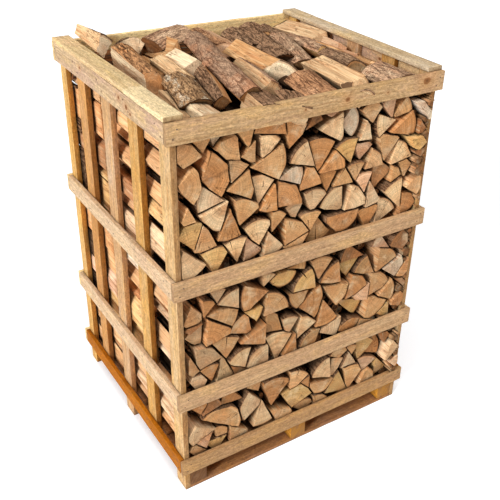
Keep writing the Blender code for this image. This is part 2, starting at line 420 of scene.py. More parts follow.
@dataclass(frozen=True)
class LogFinish:
    """Split oak: sawn ends, torn split faces and bark.

    Attributes:
        name: Name of the finish.
        bark: Main colour of the bark.
        furrow: Colour in the cracks of the bark.
        crust: Colour of the raised or lichened parts.
        blush: Colour of the broad lighter or redder parts.
        crusted: Share of the bark that shows the crust's colour.
        cracked: How far the furrows go over the smoother parts, from 0 to 1.
        plates: How many bark plates there are in a metre.
        relief: Depth of the bark's relief in the shader, in metres.
    """

    name: str
    bark: Colour
    furrow: Colour
    crust: Colour
    blush: Colour
    crusted: float = 0.4
    cracked: float = 0.5
    plates: float = 55.0
    relief: float = 0.003

    END_ORANGE, END_CREAM = tint(196, 128, 70), tint(232, 208, 168)
    HEART, CHECK, INNER_BARK = tint(176, 112, 68), tint(70, 44, 26), tint(168, 112, 66)
    TORN_ORANGE, TORN_CREAM = tint(176, 108, 58), tint(240, 212, 168)
    TORN_PINK, TORN_DARK = tint(206, 150, 106), tint(84, 50, 28)

    def end(self) -> Material:
        """Make the sawn end: rings, rays, drying cracks and a rim of bark.

        Returns:
            The finished material.
        """
        sheet = ShaderSheet(f"{self.name}_end", roughness=0.9, specular=0.08)
        place = sheet.attribute("section")
        u, v, seed = place.parts()
        radius = sheet.attribute("log_radius", "Fac")
        reach = sheet.pack(u, v).length()
        ring = place.noise(26, detail=2) * 0.016 + reach
        rings = sheet.pack(ring * 300, seed).noise(detail=2)
        zones = sheet.pack(ring * 70, seed, 3.0).noise(detail=1)
        angle = u.angle(v)
        rays = sheet.pack(angle * 26, reach * 9, seed).noise(detail=2)
        check = sheet.pack(angle * 4.2, reach * 7, seed).noise(detail=2)
        crack = check.line(0.014) * place.noise(17, detail=1).ease(0.52, 0.60)
        cloud = place.noise(15, detail=4, rough=0.6)
        fuzz = place.noise(240, rough=0.7)
        saw = place.noise((14, 230, 1), detail=1)
        rim = (fuzz * 0.003 + reach) - radius

        colour = sheet.attribute("log_colour", "Color")
        colour = colour.mix(cloud.ease(0.46, 0.74, 0, 0.50), self.END_ORANGE)
        colour = colour.mix(cloud.ease(0.50, 0.28, 0, 0.45), self.END_CREAM)
        colour = colour.mix((ring / radius).ease(0.15, 0.85, 0.34, 0.0), self.HEART)
        for pattern, low, high, dark, light in (
            (rings, 0.34, 0.66, 0.80, 1.08), (zones, 0.35, 0.65, 0.90, 1.06),
            (rays, 0.30, 0.70, 0.86, 1.08), (saw, 0.30, 0.70, 0.95, 1.04),
            (fuzz, 0.30, 0.70, 0.76, 1.14),
        ):
            colour = colour * pattern.ease(low, high, dark, light)
        colour = colour.mix(crack * 0.85, self.CHECK)
        colour = colour.mix(rim.ease(-0.0105, -0.0050, 0, 0.45), self.INNER_BARK)
        # Painted shade in the crevices.
        colour = colour.mix(rim.ease(-0.0026, -0.0014, 0, 0.85), self.furrow).paint_crevice_shade(0.030, 0.30)
        height = fuzz * 0.6 + saw * 0.8 - crack * 2.0 + rings * 0.4
        return sheet.finish(colour, height, strength=0.5, depth=0.0012)

    def split(self) -> Material:
        """Make the faces where the wood tore along its grain.

        Returns:
            The finished material.
        """
        sheet = ShaderSheet(f"{self.name}_split", roughness=0.85, specular=0.10)
        place = sheet.attribute("section")
        streak = place.noise((95, 95, 5.5), detail=4, rough=0.6)
        fibre = place.noise((420, 420, 18), detail=2)
        cloud = place.noise((16, 16, 6))
        tear = place.noise((60, 60, 9), distortion=0.6)
        torn = tear.line(0.020) * cloud.ease(0.42, 0.56)

        colour = sheet.attribute("log_colour", "Color")
        colour = colour.mix(streak.ease(0.44, 0.68, 0, 0.62), self.TORN_ORANGE)
        colour = colour.mix(streak.ease(0.47, 0.28, 0, 0.55), self.TORN_CREAM)
        colour = colour.mix(cloud.ease(0.45, 0.75, 0, 0.45), self.TORN_PINK)
        colour = colour * fibre.ease(0.28, 0.72, 0.76, 1.16)
        # Painted shade in the crevices.
        colour = colour.mix(torn * 0.66, self.TORN_DARK).paint_crevice_shade(0.032, 0.18)
        return sheet.finish(colour, streak * 1.6 + fibre * 0.5 - torn * 0.9, strength=0.75, depth=0.0022)

    def skin(self) -> Material:
        """Make the bark: long winding furrows, with crust and lichen on the raised parts.

        Returns:
            The finished material.
        """
        sheet = ShaderSheet(f"{self.name}_skin", roughness=0.95, specular=0.08)
        place = sheet.attribute("section")
        many, half = self.plates, self.plates * 0.5
        long_furrow = place.noise((many, many, many * 0.13), detail=4, rough=0.62, distortion=0.5)
        cross_furrow = place.noise((half, half, many * 0.9))
        rough = place.noise((130, 130, 34), detail=4, rough=0.7)
        grit = place.noise((330, 330, 200), rough=0.75)
        patch = place.noise((24, 24, 11), detail=4, rough=0.65)
        tone = place.noise((14, 14, 8), detail=2)
        furrow = long_furrow.line(0.050).highest(cross_furrow.line(0.022) * 0.6)
        furrow = furrow * tone.ease(0.30, 0.56, self.cracked, 1.0)
        crusty = 0.30 * self.crusted
        crust = patch.ease(0.66 - crusty, 0.80 - crusty) * grit.ease(0.40, 0.60)

        colour = sheet.mix(rough.ease(0.34, 0.62), times(self.bark, 0.52), times(self.bark, 1.08))
        colour = colour.mix(tone.ease(0.42, 0.66, 0, 0.6), self.blush)
        colour = colour.mix(crust * 0.85, self.crust).mix(furrow * 0.90, self.furrow)
        # The alpha of log_colour carries the painted light and shade of the rows into the bark.
        colour = colour * grit.ease(0.30, 0.68, 0.50, 1.45) * sheet.attribute("log_colour", "Alpha")
        # Painted shade in the crevices.
        return sheet.finish(colour.paint_crevice_shade(0.032, 0.16), rough * 0.8 + grit * 0.35 - furrow,
                            strength=0.8, depth=self.relief)

    def materials(self) -> list[Material]:
        """End, split and bark materials, in the order of Cut."""
        return [self.end(), self.split(), self.skin()]


# Knots that the rim rails show, from the middle of the board.
FRONT_RIM_KNOTS = ((0.117, 0.000, 0.008), (0.487, 0.012, 0.013), (0.300, -0.004, 0.003),
                   (-0.060, -0.006, 0.003))
SIDE_RIM_KNOTS = ((-0.150, -0.011, 0.006), (-0.210, 0.003, 0.008), (-0.240, 0.018, 0.005),
                  (0.210, -0.010, 0.005))
# From a slat's middle to its narrow faces.
SLAT_EDGE, BACK_SLAT_EDGE = 0.0397, 0.0307
BOARD_FINISHES = (
    BoardFinish("corner_post", tint(204, 167, 116), tint(178, 123, 69), tint(215, 189, 152),
                0.45, 0.12, 0.55, shaded_edge_from=SLAT_EDGE, edge=(0.60, 0.50, 0.42)),
    BoardFinish("back_post", tint(214, 170, 100), tint(180, 122, 60), tint(216, 182, 130),
                0.45, 0.12, 0.55, shaded_edge_from=BACK_SLAT_EDGE, edge=(0.62, 0.42, 0.20)),
    BoardFinish("orange_slat", tint(200, 154, 90), tint(170, 112, 53), tint(206, 172, 122),
                0.45, 0.22, 0.60, shaded_edge_from=SLAT_EDGE, edge=(0.46, 0.31, 0.10)),
    BoardFinish("pink_slat", tint(198, 158, 113), tint(168, 114, 68), tint(203, 176, 152),
                0.50, 0.25, 0.50, shaded_edge_from=SLAT_EDGE, edge=(0.76, 0.66, 0.56)),
    BoardFinish("tan_slat", tint(194, 142, 84), tint(166, 102, 49), tint(200, 158, 113),
                0.45, 0.22, 0.60, shaded_edge_from=SLAT_EDGE, edge=(0.46, 0.38, 0.24)),
    BoardFinish("side_rail", tint(210, 181, 146), tint(186, 143, 99), tint(196, 160, 132),
                0.50, 0.45, 0.45),
    BoardFinish("front_rail", tint(192, 156, 116), tint(163, 120, 77), tint(180, 140, 106),
                0.50, 0.40, 0.50),
    BoardFinish("front_base_rail", tint(172, 135, 94), tint(148, 104, 60), tint(170, 130, 95),
                0.50, 0.30, 0.55),
    # The back rails are tinted paler than their wood: painted light against the shade they stand in.
    BoardFinish("back_rail", tint(255, 226, 168), tint(236, 184, 112), tint(252, 212, 150),
                0.45, 0.30, 0.50),
    BoardFinish("orange_rail", tint(168, 98, 10), tint(134, 66, 6), tint(178, 112, 20),
                0.45, 0.20, 0.65),
    BoardFinish("front_rim_rail", tint(195, 159, 114), tint(156, 116, 74), tint(188, 150, 118),
                0.60, 0.0, 0.60, marks=FRONT_RIM_KNOTS),
    BoardFinish("side_rim_rail", tint(203, 174, 136), tint(158, 124, 92), tint(188, 152, 132),
                0.70, 0.30, 0.55, marks=SIDE_RIM_KNOTS),
    # The left cap gets a painted highlight on its front part.
    BoardFinish("cap_wood", tint(220, 192, 144), tint(186, 148, 98), tint(230, 190, 148),
                0.55, 0.25, 0.60, pale_below=-0.20),
    BoardFinish("grey_cap_wood", tint(208, 182, 144), tint(172, 140, 100), tint(216, 198, 174),
                0.55, 0.25, 0.60),
    BoardFinish("pallet_wood", tint(166, 117, 72), tint(124, 80, 48), tint(146, 106, 80),
                0.6, 0.3, 0.6),
    BoardFinish("dark_block", tint(130, 84, 42), tint(88, 54, 26), tint(108, 72, 38), 0.6, 0.0, 0.6),
    BoardFinish("yellow_block", tint(196, 136, 50), tint(148, 94, 28), tint(164, 112, 48),
                0.6, 0.0, 0.6),
)
LOG_FINISHES = (
    LogFinish("oak", tint(150, 114, 84), tint(58, 36, 24), tint(184, 154, 122), tint(166, 118, 82)),
    LogFinish("rough_bark", tint(162, 124, 94), tint(56, 36, 24), tint(186, 150, 116),
              tint(170, 126, 92), 0.5, 0.75, 60, 0.004),
    LogFinish("smooth_bark", tint(176, 140, 112), tint(92, 62, 46), tint(200, 166, 136),
              tint(184, 122, 84), 0.45, 0.18, 34, 0.0018),
    LogFinish("red_bark", tint(194, 142, 102), tint(84, 50, 34), tint(204, 158, 120),
              tint(178, 128, 90), 0.45, 0.35, 46),
    LogFinish("pink_bark", tint(204, 164, 130), tint(92, 64, 46), tint(226, 194, 158),
              tint(186, 134, 100), 0.55, 0.4, 60),
    LogFinish("lichen_bark", tint(180, 138, 98), tint(66, 42, 28), tint(242, 230, 204),
              tint(200, 158, 114), 0.52, 0.6, 90),
    LogFinish("cracked_bark", tint(210, 154, 106), tint(46, 26, 16), tint(226, 178, 128),
              tint(200, 130, 76), 0.5, 0.35, 46, 0.005),
)


class Wood:
    """The finishes of the crate and its logs, each made once."""

    def __init__(self) -> None:
        """Make the materials."""
        self.boards = {finish.name: (finish.side(), finish.end()) for finish in BOARD_FINISHES}
        self.logs = {finish.name: finish.materials() for finish in LOG_FINISHES}


# ---- mesh helpers ----
HASH_AXES, HASH_SEED, HASH_MIX = (73856093, 19349663, 83492791), 2654435761, 1274126177


def hashed(cells: Array, seed: int) -> Array:
    """Random numbers from -1 to 1, always the same for a lattice cell.

    Args:
        cells: Whole-number lattice places, three in a row.
        seed: Picks one lattice of numbers among many.

    Returns:
        One number for each place.
    """
    mixed = seed * HASH_SEED
    for axis, prime in enumerate(HASH_AXES):
        mixed = mixed ^ (cells[..., axis].astype(np.int64) * prime)
    mixed = (mixed ^ (mixed >> 13)) * HASH_MIX & 0xFFFFFFFF
    mixed = (mixed ^ (mixed >> 16)) & 0xFFFFFF
    return mixed / 0x7FFFFF - 1.0


def lattice_noise(places: Array, seed: int, octaves: int = 1) -> Array:
    """Smooth random numbers over space, about -1 to 1.

    Args:
        places: Points, three numbers in a row, one lattice cell to a unit.
        seed: Picks the pattern.
        octaves: How many finer layers are added, each half as strong.

    Returns:
        One number for each point.
    """
    total = np.zeros(places.shape[:-1])
    for layer in range(octaves):
        scaled = places * 2.0 ** layer
        cell = np.floor(scaled)
        part = scaled - cell
        part = part * part * (3 - 2 * part)
        value = np.zeros_like(total)
        for corner in np.ndindex(2, 2, 2):
            weight = np.prod(np.where(np.array(corner) == 1, part, 1 - part), axis=-1)
            value += weight * hashed(cell + np.array(corner), seed + 17 * layer)
        total += value * 0.5 ** layer
    return total


def shift_colour(tone: Tone, rng: Random, spread: float = 0.10) -> Colour:
    """Shift a tone's colour, a little lighter or darker and warmer or colder than the last.

    Args:
        tone: The tone.
        rng: Source of the shift.
        spread: Size of the shift.

    Returns:
        The colour.
    """
    light = 1 + rng.normal(0, spread)
    warm = rng.normal(0, spread * 0.35)
    return times(tone.value, light * (1 + warm * 0.4), light, light * (1 - warm))


@dataclass
class MeshGather:
    """Collects the faces of many logs into one mesh, with the attributes that their finishes read."""

    points: list[Array] = field(default_factory=list)
    faces: list[tuple[int, ...]] = field(default_factory=list)
    cuts: list[int] = field(default_factory=list)
    sections: list[Array] = field(default_factory=list)
    colours: list[Array] = field(default_factory=list)
    radii: list[Array] = field(default_factory=list)
    count: int = 0

    PALEST = 0.95
    SMOOTH_BELOW = math.radians(38)

    def add_tube(self, rings: Array, sections: Array, bark: Array, colour: Colour,
                 radius: float, shades: Array) -> None:
        """Add one log: rings of points from its near end to its far end, and a face on each end.

        Args:
            rings: Points, as ring by point by xyz, each ring counter-clockwise seen from the front.
            sections: The same points about the log's heart.
            bark: Whether the side that starts at each point of a ring is bark.
            colour: The wood's own colour.
            radius: The log's radius at its bark.
            shades: How light the wood is, as ring by point by one number or three.
        """
        ring_count, point_count = rings.shape[:2]
        around = [(point, (point + 1) % point_count) for point in range(point_count)]
        for low in range(self.count, self.count + (ring_count - 1) * point_count, point_count):
            high = low + point_count
            self.faces += [(low + point, low + other, high + other, high + point)
                           for point, other in around]
            self.cuts += [Cut.BARK.value if is_bark else Cut.SPLIT.value for is_bark in bark]
        total = ring_count * point_count
        near_end = range(self.count + point_count - 1, self.count - 1, -1)
        far_end = range(self.count + total - point_count, self.count + total)
        self.faces += [tuple(near_end), tuple(far_end)]
        self.cuts += [Cut.END.value] * 2
        light = np.broadcast_to(shades, rings.shape).reshape(-1, 3)
        # The alpha keeps the mean painted light and shade, no higher than 1, for the bark.
        depth = np.minimum(light.mean(1, keepdims=True), 1.0)
        wood = light * np.array(colour)
        wood *= np.minimum(1.0, self.PALEST / wood.max(axis=1, keepdims=True))
        self.points.append(rings.reshape(-1, 3))
        self.sections.append(sections.reshape(-1, 3))
        self.colours.append(np.concatenate([wood, depth], 1))
        self.radii.append(np.full(total, radius))
        self.count += total

    def build(self, name: str, materials: Sequence[Material]) -> Piece:
        """Make the object.

        Args:
            name: The piece's name.
            materials: Its materials, in the order of Cut.

        Returns:
            The new object, with its place in its mesh.
        """
        mesh = bpy.data.meshes.new(name)
        mesh.from_pydata(np.concatenate(self.points).tolist(), [], self.faces)
        for material in materials:
            mesh.materials.append(material)
        mesh.polygons.foreach_set("material_index", self.cuts)
        for label, kind, values, key in (
            ("section", "FLOAT_VECTOR", self.sections, "vector"),
            ("log_colour", "FLOAT_COLOR", self.colours, "color"),
            ("log_radius", "FLOAT", self.radii, "value"),
        ):
            attribute = mesh.attributes.new(label, kind, "POINT")
            attribute.data.foreach_set(key, np.concatenate(values).astype(np.float32).ravel())
        mesh.shade_smooth()
        mesh.set_sharp_from_angle(angle=self.SMOOTH_BELOW)
        obj = bpy.data.objects.new(name, mesh)
        bpy.context.scene.collection.objects.link(obj)
        return obj


# ---- the ends of split logs ----
NEARLY_STRAIGHT, SHORTEST_SIDE = 0.15, 0.0016


def sides(outline: Array) -> Array:
    """The sides of an outline, each from its corner to the next."""
    return np.roll(outline, -1, axis=0) - outline


def outward(edges: Array) -> Array:
    """Directions square to the sides of a counter-clockwise outline, as long as the sides."""
    return np.stack([edges[..., 1], -edges[..., 0]], -1)


def rotated(vectors: Array, angle: Array | float) -> Array:
    """Turn vectors counter-clockwise.

    Args:
        vectors: The vectors, as (across, up).
        angle: The turn, in radians.

    Returns:
        The turned vectors.
    """
    cos, sin = np.cos(angle), np.sin(angle)
    across, up = vectors[..., 0], vectors[..., 1]
    return np.stack([cos * across - sin * up, sin * across + cos * up], -1)


def cross(first: Array, second: Array) -> Array:
    """Cross product of vectors in a plane."""
    return first[..., 0] * second[..., 1] - first[..., 1] * second[..., 0]


def corner_normals(outline: Array) -> Array:
    """Outward directions of length 1 at the corners of an outline.

    Args:
        outline: The corners.

    Returns:
        The directions.
    """
    normal = outward(np.roll(outline, -1, axis=0) - np.roll(outline, 1, axis=0))
    return normal / np.maximum(np.linalg.norm(normal, axis=1, keepdims=True), 1e-9)


def area(outline: Array) -> float:
    """Area inside a counter-clockwise outline."""
    return 0.5 * float(np.sum(cross(outline, np.roll(outline, -1, axis=0))))


def centroid(outline: Array) -> Array:
    """Find the middle of the area inside an outline.

    Args:
        outline: The corners.

    Returns:
        The middle.
    """
    ahead = np.roll(outline, -1, axis=0)
    share = cross(outline, ahead)
    return ((outline + ahead) * share[:, None]).sum(0) / (3 * share.sum())


def grow(outline: Array, width: float) -> Array:
    """Move every side of a convex outline outwards, with the sharp corners held back.

    Args:
        outline: The corners.
        width: How far the sides move.

    Returns:
        The new corners.
    """
    edge = sides(outline)
    normal = outward(edge) / np.linalg.norm(edge, axis=1, keepdims=True)
    reach = (normal * outline).sum(1) + width
    longest = 2.2 * width
    corners = []
    for index, corner in enumerate(outline):
        before, after = normal[index - 1], normal[index]
        turn = cross(before, after)
        if abs(turn) < NEARLY_STRAIGHT:
            corners.append(corner + after * width)
            continue
        moved = np.array([reach[index - 1] * after[1] - reach[index] * before[1],
                          before[0] * reach[index] - after[0] * reach[index - 1]]) / turn
        step = moved - corner
        if np.linalg.norm(step) > longest:
            moved = corner + step / np.linalg.norm(step) * longest
        corners.append(moved)
    return np.array(corners)


def trim(outline: Array, normal: Array, limit: float) -> Array:
    """Cut off what lies past a line.

    Args:
        outline: The corners.
        normal: Direction square to the line.
        limit: Largest dot product with it that is kept.

    Returns:
        The corners that are left.
    """
    past = outline @ normal - limit
    if (past <= 0).all() or len(outline) < 3:
        return outline
    kept = []
    for index, point in enumerate(outline):
        after = (index + 1) % len(outline)
        if past[index] <= 0:
            kept.append(point)
        if (past[index] < 0) != (past[after] < 0):
            share = past[index] / (past[index] - past[after])
            kept.append(point + (outline[after] - point) * share)
    return np.array(kept).reshape(-1, 2)


def thinned(outline: Array) -> Array:
    """Drop the corners that lie almost on the one before.

    Args:
        outline: The corners.

    Returns:
        The corners that are left.
    """
    kept = [point for index, point in enumerate(outline)
            if np.linalg.norm(point - outline[index - 1]) > SHORTEST_SIDE]
    return np.array(kept).reshape(-1, 2)


@dataclass(frozen=True)
class Wedge:
    """The end of a split log, about its heart, with the middle of its round side at the top.

    Attributes:
        radius: Heart to bark.
        opening: Angle between the two split faces, in degrees; 360 is an unsplit round.
        inner: Radius at which the heart was split off, or 0.
    """

    radius: float
    opening: float
    inner: float = 0.0

    ROUND, HALF = 300, 170
    # Share of all pieces up to each kind, its radius and opening, and where its heart came off.
    KINDS = ((0.62, (0.098, 0.136), (52, 92), None), (0.76, (0.118, 0.150), (34, 50), None),
             (0.88, (0.060, 0.080), (170, 180), None),
             (0.96, (0.120, 0.150), (50, 75), (0.25, 0.45)))
    BRANCH = (0.040, 0.052)

    def outline(self, parts: int = 6) -> Array:
        """Find the corners.

        Args:
            parts: Number of sides of the round part.

        Returns:
            The corners, counter-clockwise, as (across, up).
        """
        half = math.radians(self.opening) / 2
        angles = np.linspace(half, -half, parts + 1)
        arc = np.stack([np.sin(angles), np.cos(angles)], 1)
        if self.opening > self.ROUND:
            return arc[:-1] * self.radius
        if self.inner:
            return np.concatenate([arc * self.radius, arc[[-1, 0]] * self.inner])
        if self.opening >= self.HALF:
            return arc * self.radius
        return np.concatenate([arc * self.radius, np.zeros((1, 2))])

    @classmethod
    def drawn(cls, rng: Random) -> "Wedge":
        """Draw the kind of piece that splitting a round gives.

        Args:
            rng: Source of the piece.

        Returns:
            The piece.
        """
        drawn = rng.random()
        for share, radii, openings, hearts in cls.KINDS:
            if drawn < share:
                radius, opening = rng.uniform(*radii), rng.uniform(*openings)
                return cls(radius, opening, radius * rng.uniform(*hearts) if hearts else 0.0)
        return cls(rng.uniform(*cls.BRANCH), 360)


@dataclass
class Stack:
    """Log ends that are pushed about until they lie against each other, like a stacked row.

    Attributes:
        shapes: Outline of each end about its heart.
        hearts: Where each heart lies, as (x, z).
        turns: Turn of each end, in radians.
        box: Left, right, bottom and top of the space.
    """

    shapes: list[Array]
    hearts: Array
    turns: Array
    box: Box

    STIFF, WALL_STIFF = 0.55, 0.8
    FARTHEST_MOVE, FARTHEST_TURN = 0.01, 0.12

    def __post_init__(self) -> None:
        """Pad the outlines to one length, about their middles."""
        self.middles = np.array([centroid(shape) for shape in self.shapes])
        self.corners = [len(shape) for shape in self.shapes]
        self.local = padded([shape - middle for shape, middle in zip(self.shapes, self.middles)])
        self.areas = np.array([area(shape) for shape in self.shapes])
        self.reach = np.linalg.norm(self.local, axis=2).max(1)
        self.places = self.hearts + rotated(self.middles, self.turns)
        self.inertia = self.areas * self.reach ** 2 * 0.35

    def heart_places(self) -> Array:
        """Where each heart lies now."""
        return self.places - rotated(self.middles, self.turns)

    def placed(self, scale: float = 1.0) -> Array:
        """All the corners in place."""
        return rotated(self.local * scale, self.turns[:, None]) + self.places[:, None]

    def near(self) -> tuple[Array, Array]:
        """Pairs that are close enough to touch."""
        return close_pairs(self.places, self.reach, 0.01)

    def settle(self, steps: int, start_scale: float, fall: float, shake: float,
               rng: Random) -> None:
        """Let the logs grow to full size, fall and push each other apart.

        Args:
            steps: How many small moves are made.
            start_scale: Size at the start; it reaches 1 before the end.
            fall: Drop in each step, in metres.
            shake: Size of the random moves at the start, in metres.
            rng: Source of the random moves.
        """
        pairs = self.near()
        for step in range(steps):
            done = step / max(steps - 1, 1)
            scale = start_scale + (1 - start_scale) * min(1, done * 1.3)
            if step % 8 == 0:
                pairs = self.near()
            wild = shake * (1 - done) ** 2
            self.places += rng.normal(0, 1, self.places.shape) * wild
            self.turns += rng.normal(0, 1, len(self.turns)) * wild * 8
            self.places[:, 1] -= fall * (1 - done * 0.7)
            self.push(*pairs, scale)
            self.push(*pairs, scale)

    def push(self, first: Array, second: Array, scale: float) -> None:
        """Move touching logs apart, and back inside the walls, by their weight.

        Args:
            first: Index of one log of each near pair.
            second: Index of the other.
            scale: Size of the logs for now.
        """
        placed = self.placed(scale)
        gap, normal, contact = separation(placed, first, second)
        touching = gap < 0
        depth, away, at = -gap[touching], normal[touching], contact[touching]
        weight, inertia = self.areas * scale ** 2, self.inertia * scale ** 4
        ends = []
        for log in (first[touching], second[touching]):
            ends.append((log, cross(at - self.places[log], away)))
        (left, twist_left), (right, twist_right) = ends
        ease = (1 / weight[left] + twist_left ** 2 / inertia[left]
                + 1 / weight[right] + twist_right ** 2 / inertia[right])
        pull = depth / ease * self.STIFF
        move, turn = np.zeros_like(self.places), np.zeros(len(self.turns))
        for sign, (log, twist) in zip((-1, 1), ends):
            np.add.at(move, log, sign * away * (pull / weight[log])[:, None])
            np.add.at(turn, log, sign * pull * twist / inertia[log])
        rows = np.arange(len(self.turns))
        for (axis, sign), limit in zip(((0, 1), (0, -1), (1, 1), (1, -1)), self.box):
            inwards = placed[..., axis] * sign
            corner = inwards.argmin(1)
            deep = limit * sign - inwards[rows, corner]
            wall = np.zeros(2)
            wall[axis] = sign
            twist = cross(placed[rows, corner] - self.places, wall)
            pull = np.where(deep > 0, deep / (1 / weight + twist ** 2 / inertia) * self.WALL_STIFF, 0)
            move += wall * (pull / weight)[:, None]
            turn += pull * twist / inertia
        self.places += np.clip(move, -self.FARTHEST_MOVE, self.FARTHEST_MOVE)
        self.turns += np.clip(turn, -self.FARTHEST_TURN, self.FARTHEST_TURN)

    def outlines(self) -> list[Array]:
        """Each log's outline in place."""
        return [placed[:count] for placed, count in zip(self.placed(), self.corners)]


def padded(outlines: Sequence[Array]) -> Array:
    """Put outlines of different lengths in one array.

    Args:
        outlines: The outlines.

    Returns:
        The outlines, with the last corner of each repeated to one length.
    """
    longest = max(len(outline) for outline in outlines)
    return np.array([np.concatenate([outline, np.repeat(outline[-1:], longest - len(outline), 0)])
                     for outline in outlines])


def close_pairs(middles: Array, reach: Array, margin: float) -> tuple[Array, Array]:
    """Find the pairs of outlines that may touch.

    Args:
        middles: Middle of each outline.
        reach: Its farthest corner from there.
        margin: How far apart they may be.

    Returns:
        Index of one outline of each pair, and of the other.
    """
    distance = np.linalg.norm(middles[:, None] - middles[None], axis=2)
    return np.nonzero(np.triu(distance < reach[:, None] + reach[None] + margin, 1))


def separation(placed: Array, first: Array,
               second: Array) -> tuple[Array, Array, Array]:
    """How far apart pairs of convex outlines are, along their best separating line.

    Args:
        placed: All the outlines, padded.
        first: Index of one outline of each pair.
        second: Index of the other.

    Returns:
        The gaps (negative where they overlap), the directions from first to second, and the
        nearest corners.
    """
    edge = np.roll(placed, -1, axis=1) - placed
    length = np.linalg.norm(edge, axis=2, keepdims=True)
    normal = outward(edge) / np.maximum(length, 1e-9)
    empty = length < 1e-6
    normal = np.where(empty, normal[:, :1], normal)
    start = np.where(empty, placed[:, :1], placed)
    pairs = np.arange(len(first))

    def best(one: Array, other: Array) -> tuple[Array, Array, Array]:
        """Find the best of the first outline's own sides.

        Args:
            one: Index of the outline whose sides are tried.
            other: Index of the other.

        Returns:
            The gaps, directions and nearest corners.
        """
        own = np.einsum("pek,pek->pe", normal[one], start[one])[..., None]
        reach = np.einsum("pek,pvk->pev", normal[one], placed[other]) - own
        corner = reach.argmin(2)
        nearest = reach.min(2)
        side = nearest.argmax(1)
        return (nearest[pairs, side], normal[one][pairs, side],
                placed[other][pairs, corner[pairs, side]])

    gap_one, normal_one, corner_one = best(first, second)
    gap_two, normal_two, corner_two = best(second, first)
    keep = gap_one >= gap_two
    return (np.where(keep, gap_one, gap_two), np.where(keep[:, None], normal_one, -normal_two),
            np.where(keep[:, None], corner_one, corner_two))


def swell(outlines: list[Array], rounds: int, step: float, seams: tuple[float, float],
          box: Box, hollow: float,
          rng: Random) -> list[Array]:
    """Grow the ends into the space between them, leaving thin seams.

    Args:
        outlines: The outlines in place.
        rounds: How many times they grow.
        step: Growth in each round, in metres.
        seams: Narrowest and widest seam, in metres.
        box: Left, right, bottom and top of the space.
        hollow: How far the outermost logs may stay behind the walls, in metres.
        rng: Source of the seams' widths.

    Returns:
        The grown outlines, none of them overlapping.
    """
    widths = {}
    recesses = rng.uniform(0, hollow, len(outlines))
    for _ in range(rounds):
        placed = padded(outlines)
        middle = placed.mean(1)
        reach = np.linalg.norm(placed - middle[:, None], axis=2).max(1)
        first, second = close_pairs(middle, reach, 0.03)
        gap, normal, _ = separation(placed, first, second)
        grown = [grow(outline, step) for outline in outlines]
        for one, other, apart, away in zip(first, second, gap, normal):
            seam = widths.setdefault((one, other), rng.uniform(*seams))
            if apart > 2.2 * step + seam:
                continue
            line = ((outlines[one] @ away).max() + (outlines[other] @ away).min()) / 2
            grown[one] = trim(grown[one], away, line - seam / 2)
            grown[other] = trim(grown[other], -away, -line - seam / 2)
        for direction, limit in zip(((-1, 0), (1, 0), (0, -1), (0, 1)), box):
            grown = [trim(outline, np.array(direction, float), limit * sum(direction) - recess)
                     for outline, recess in zip(grown, recesses)]
        grown = [thinned(outline) for outline in grown]
        outlines = [after if len(after) > 2 else before for before, after in zip(outlines, grown)]
    return outlines
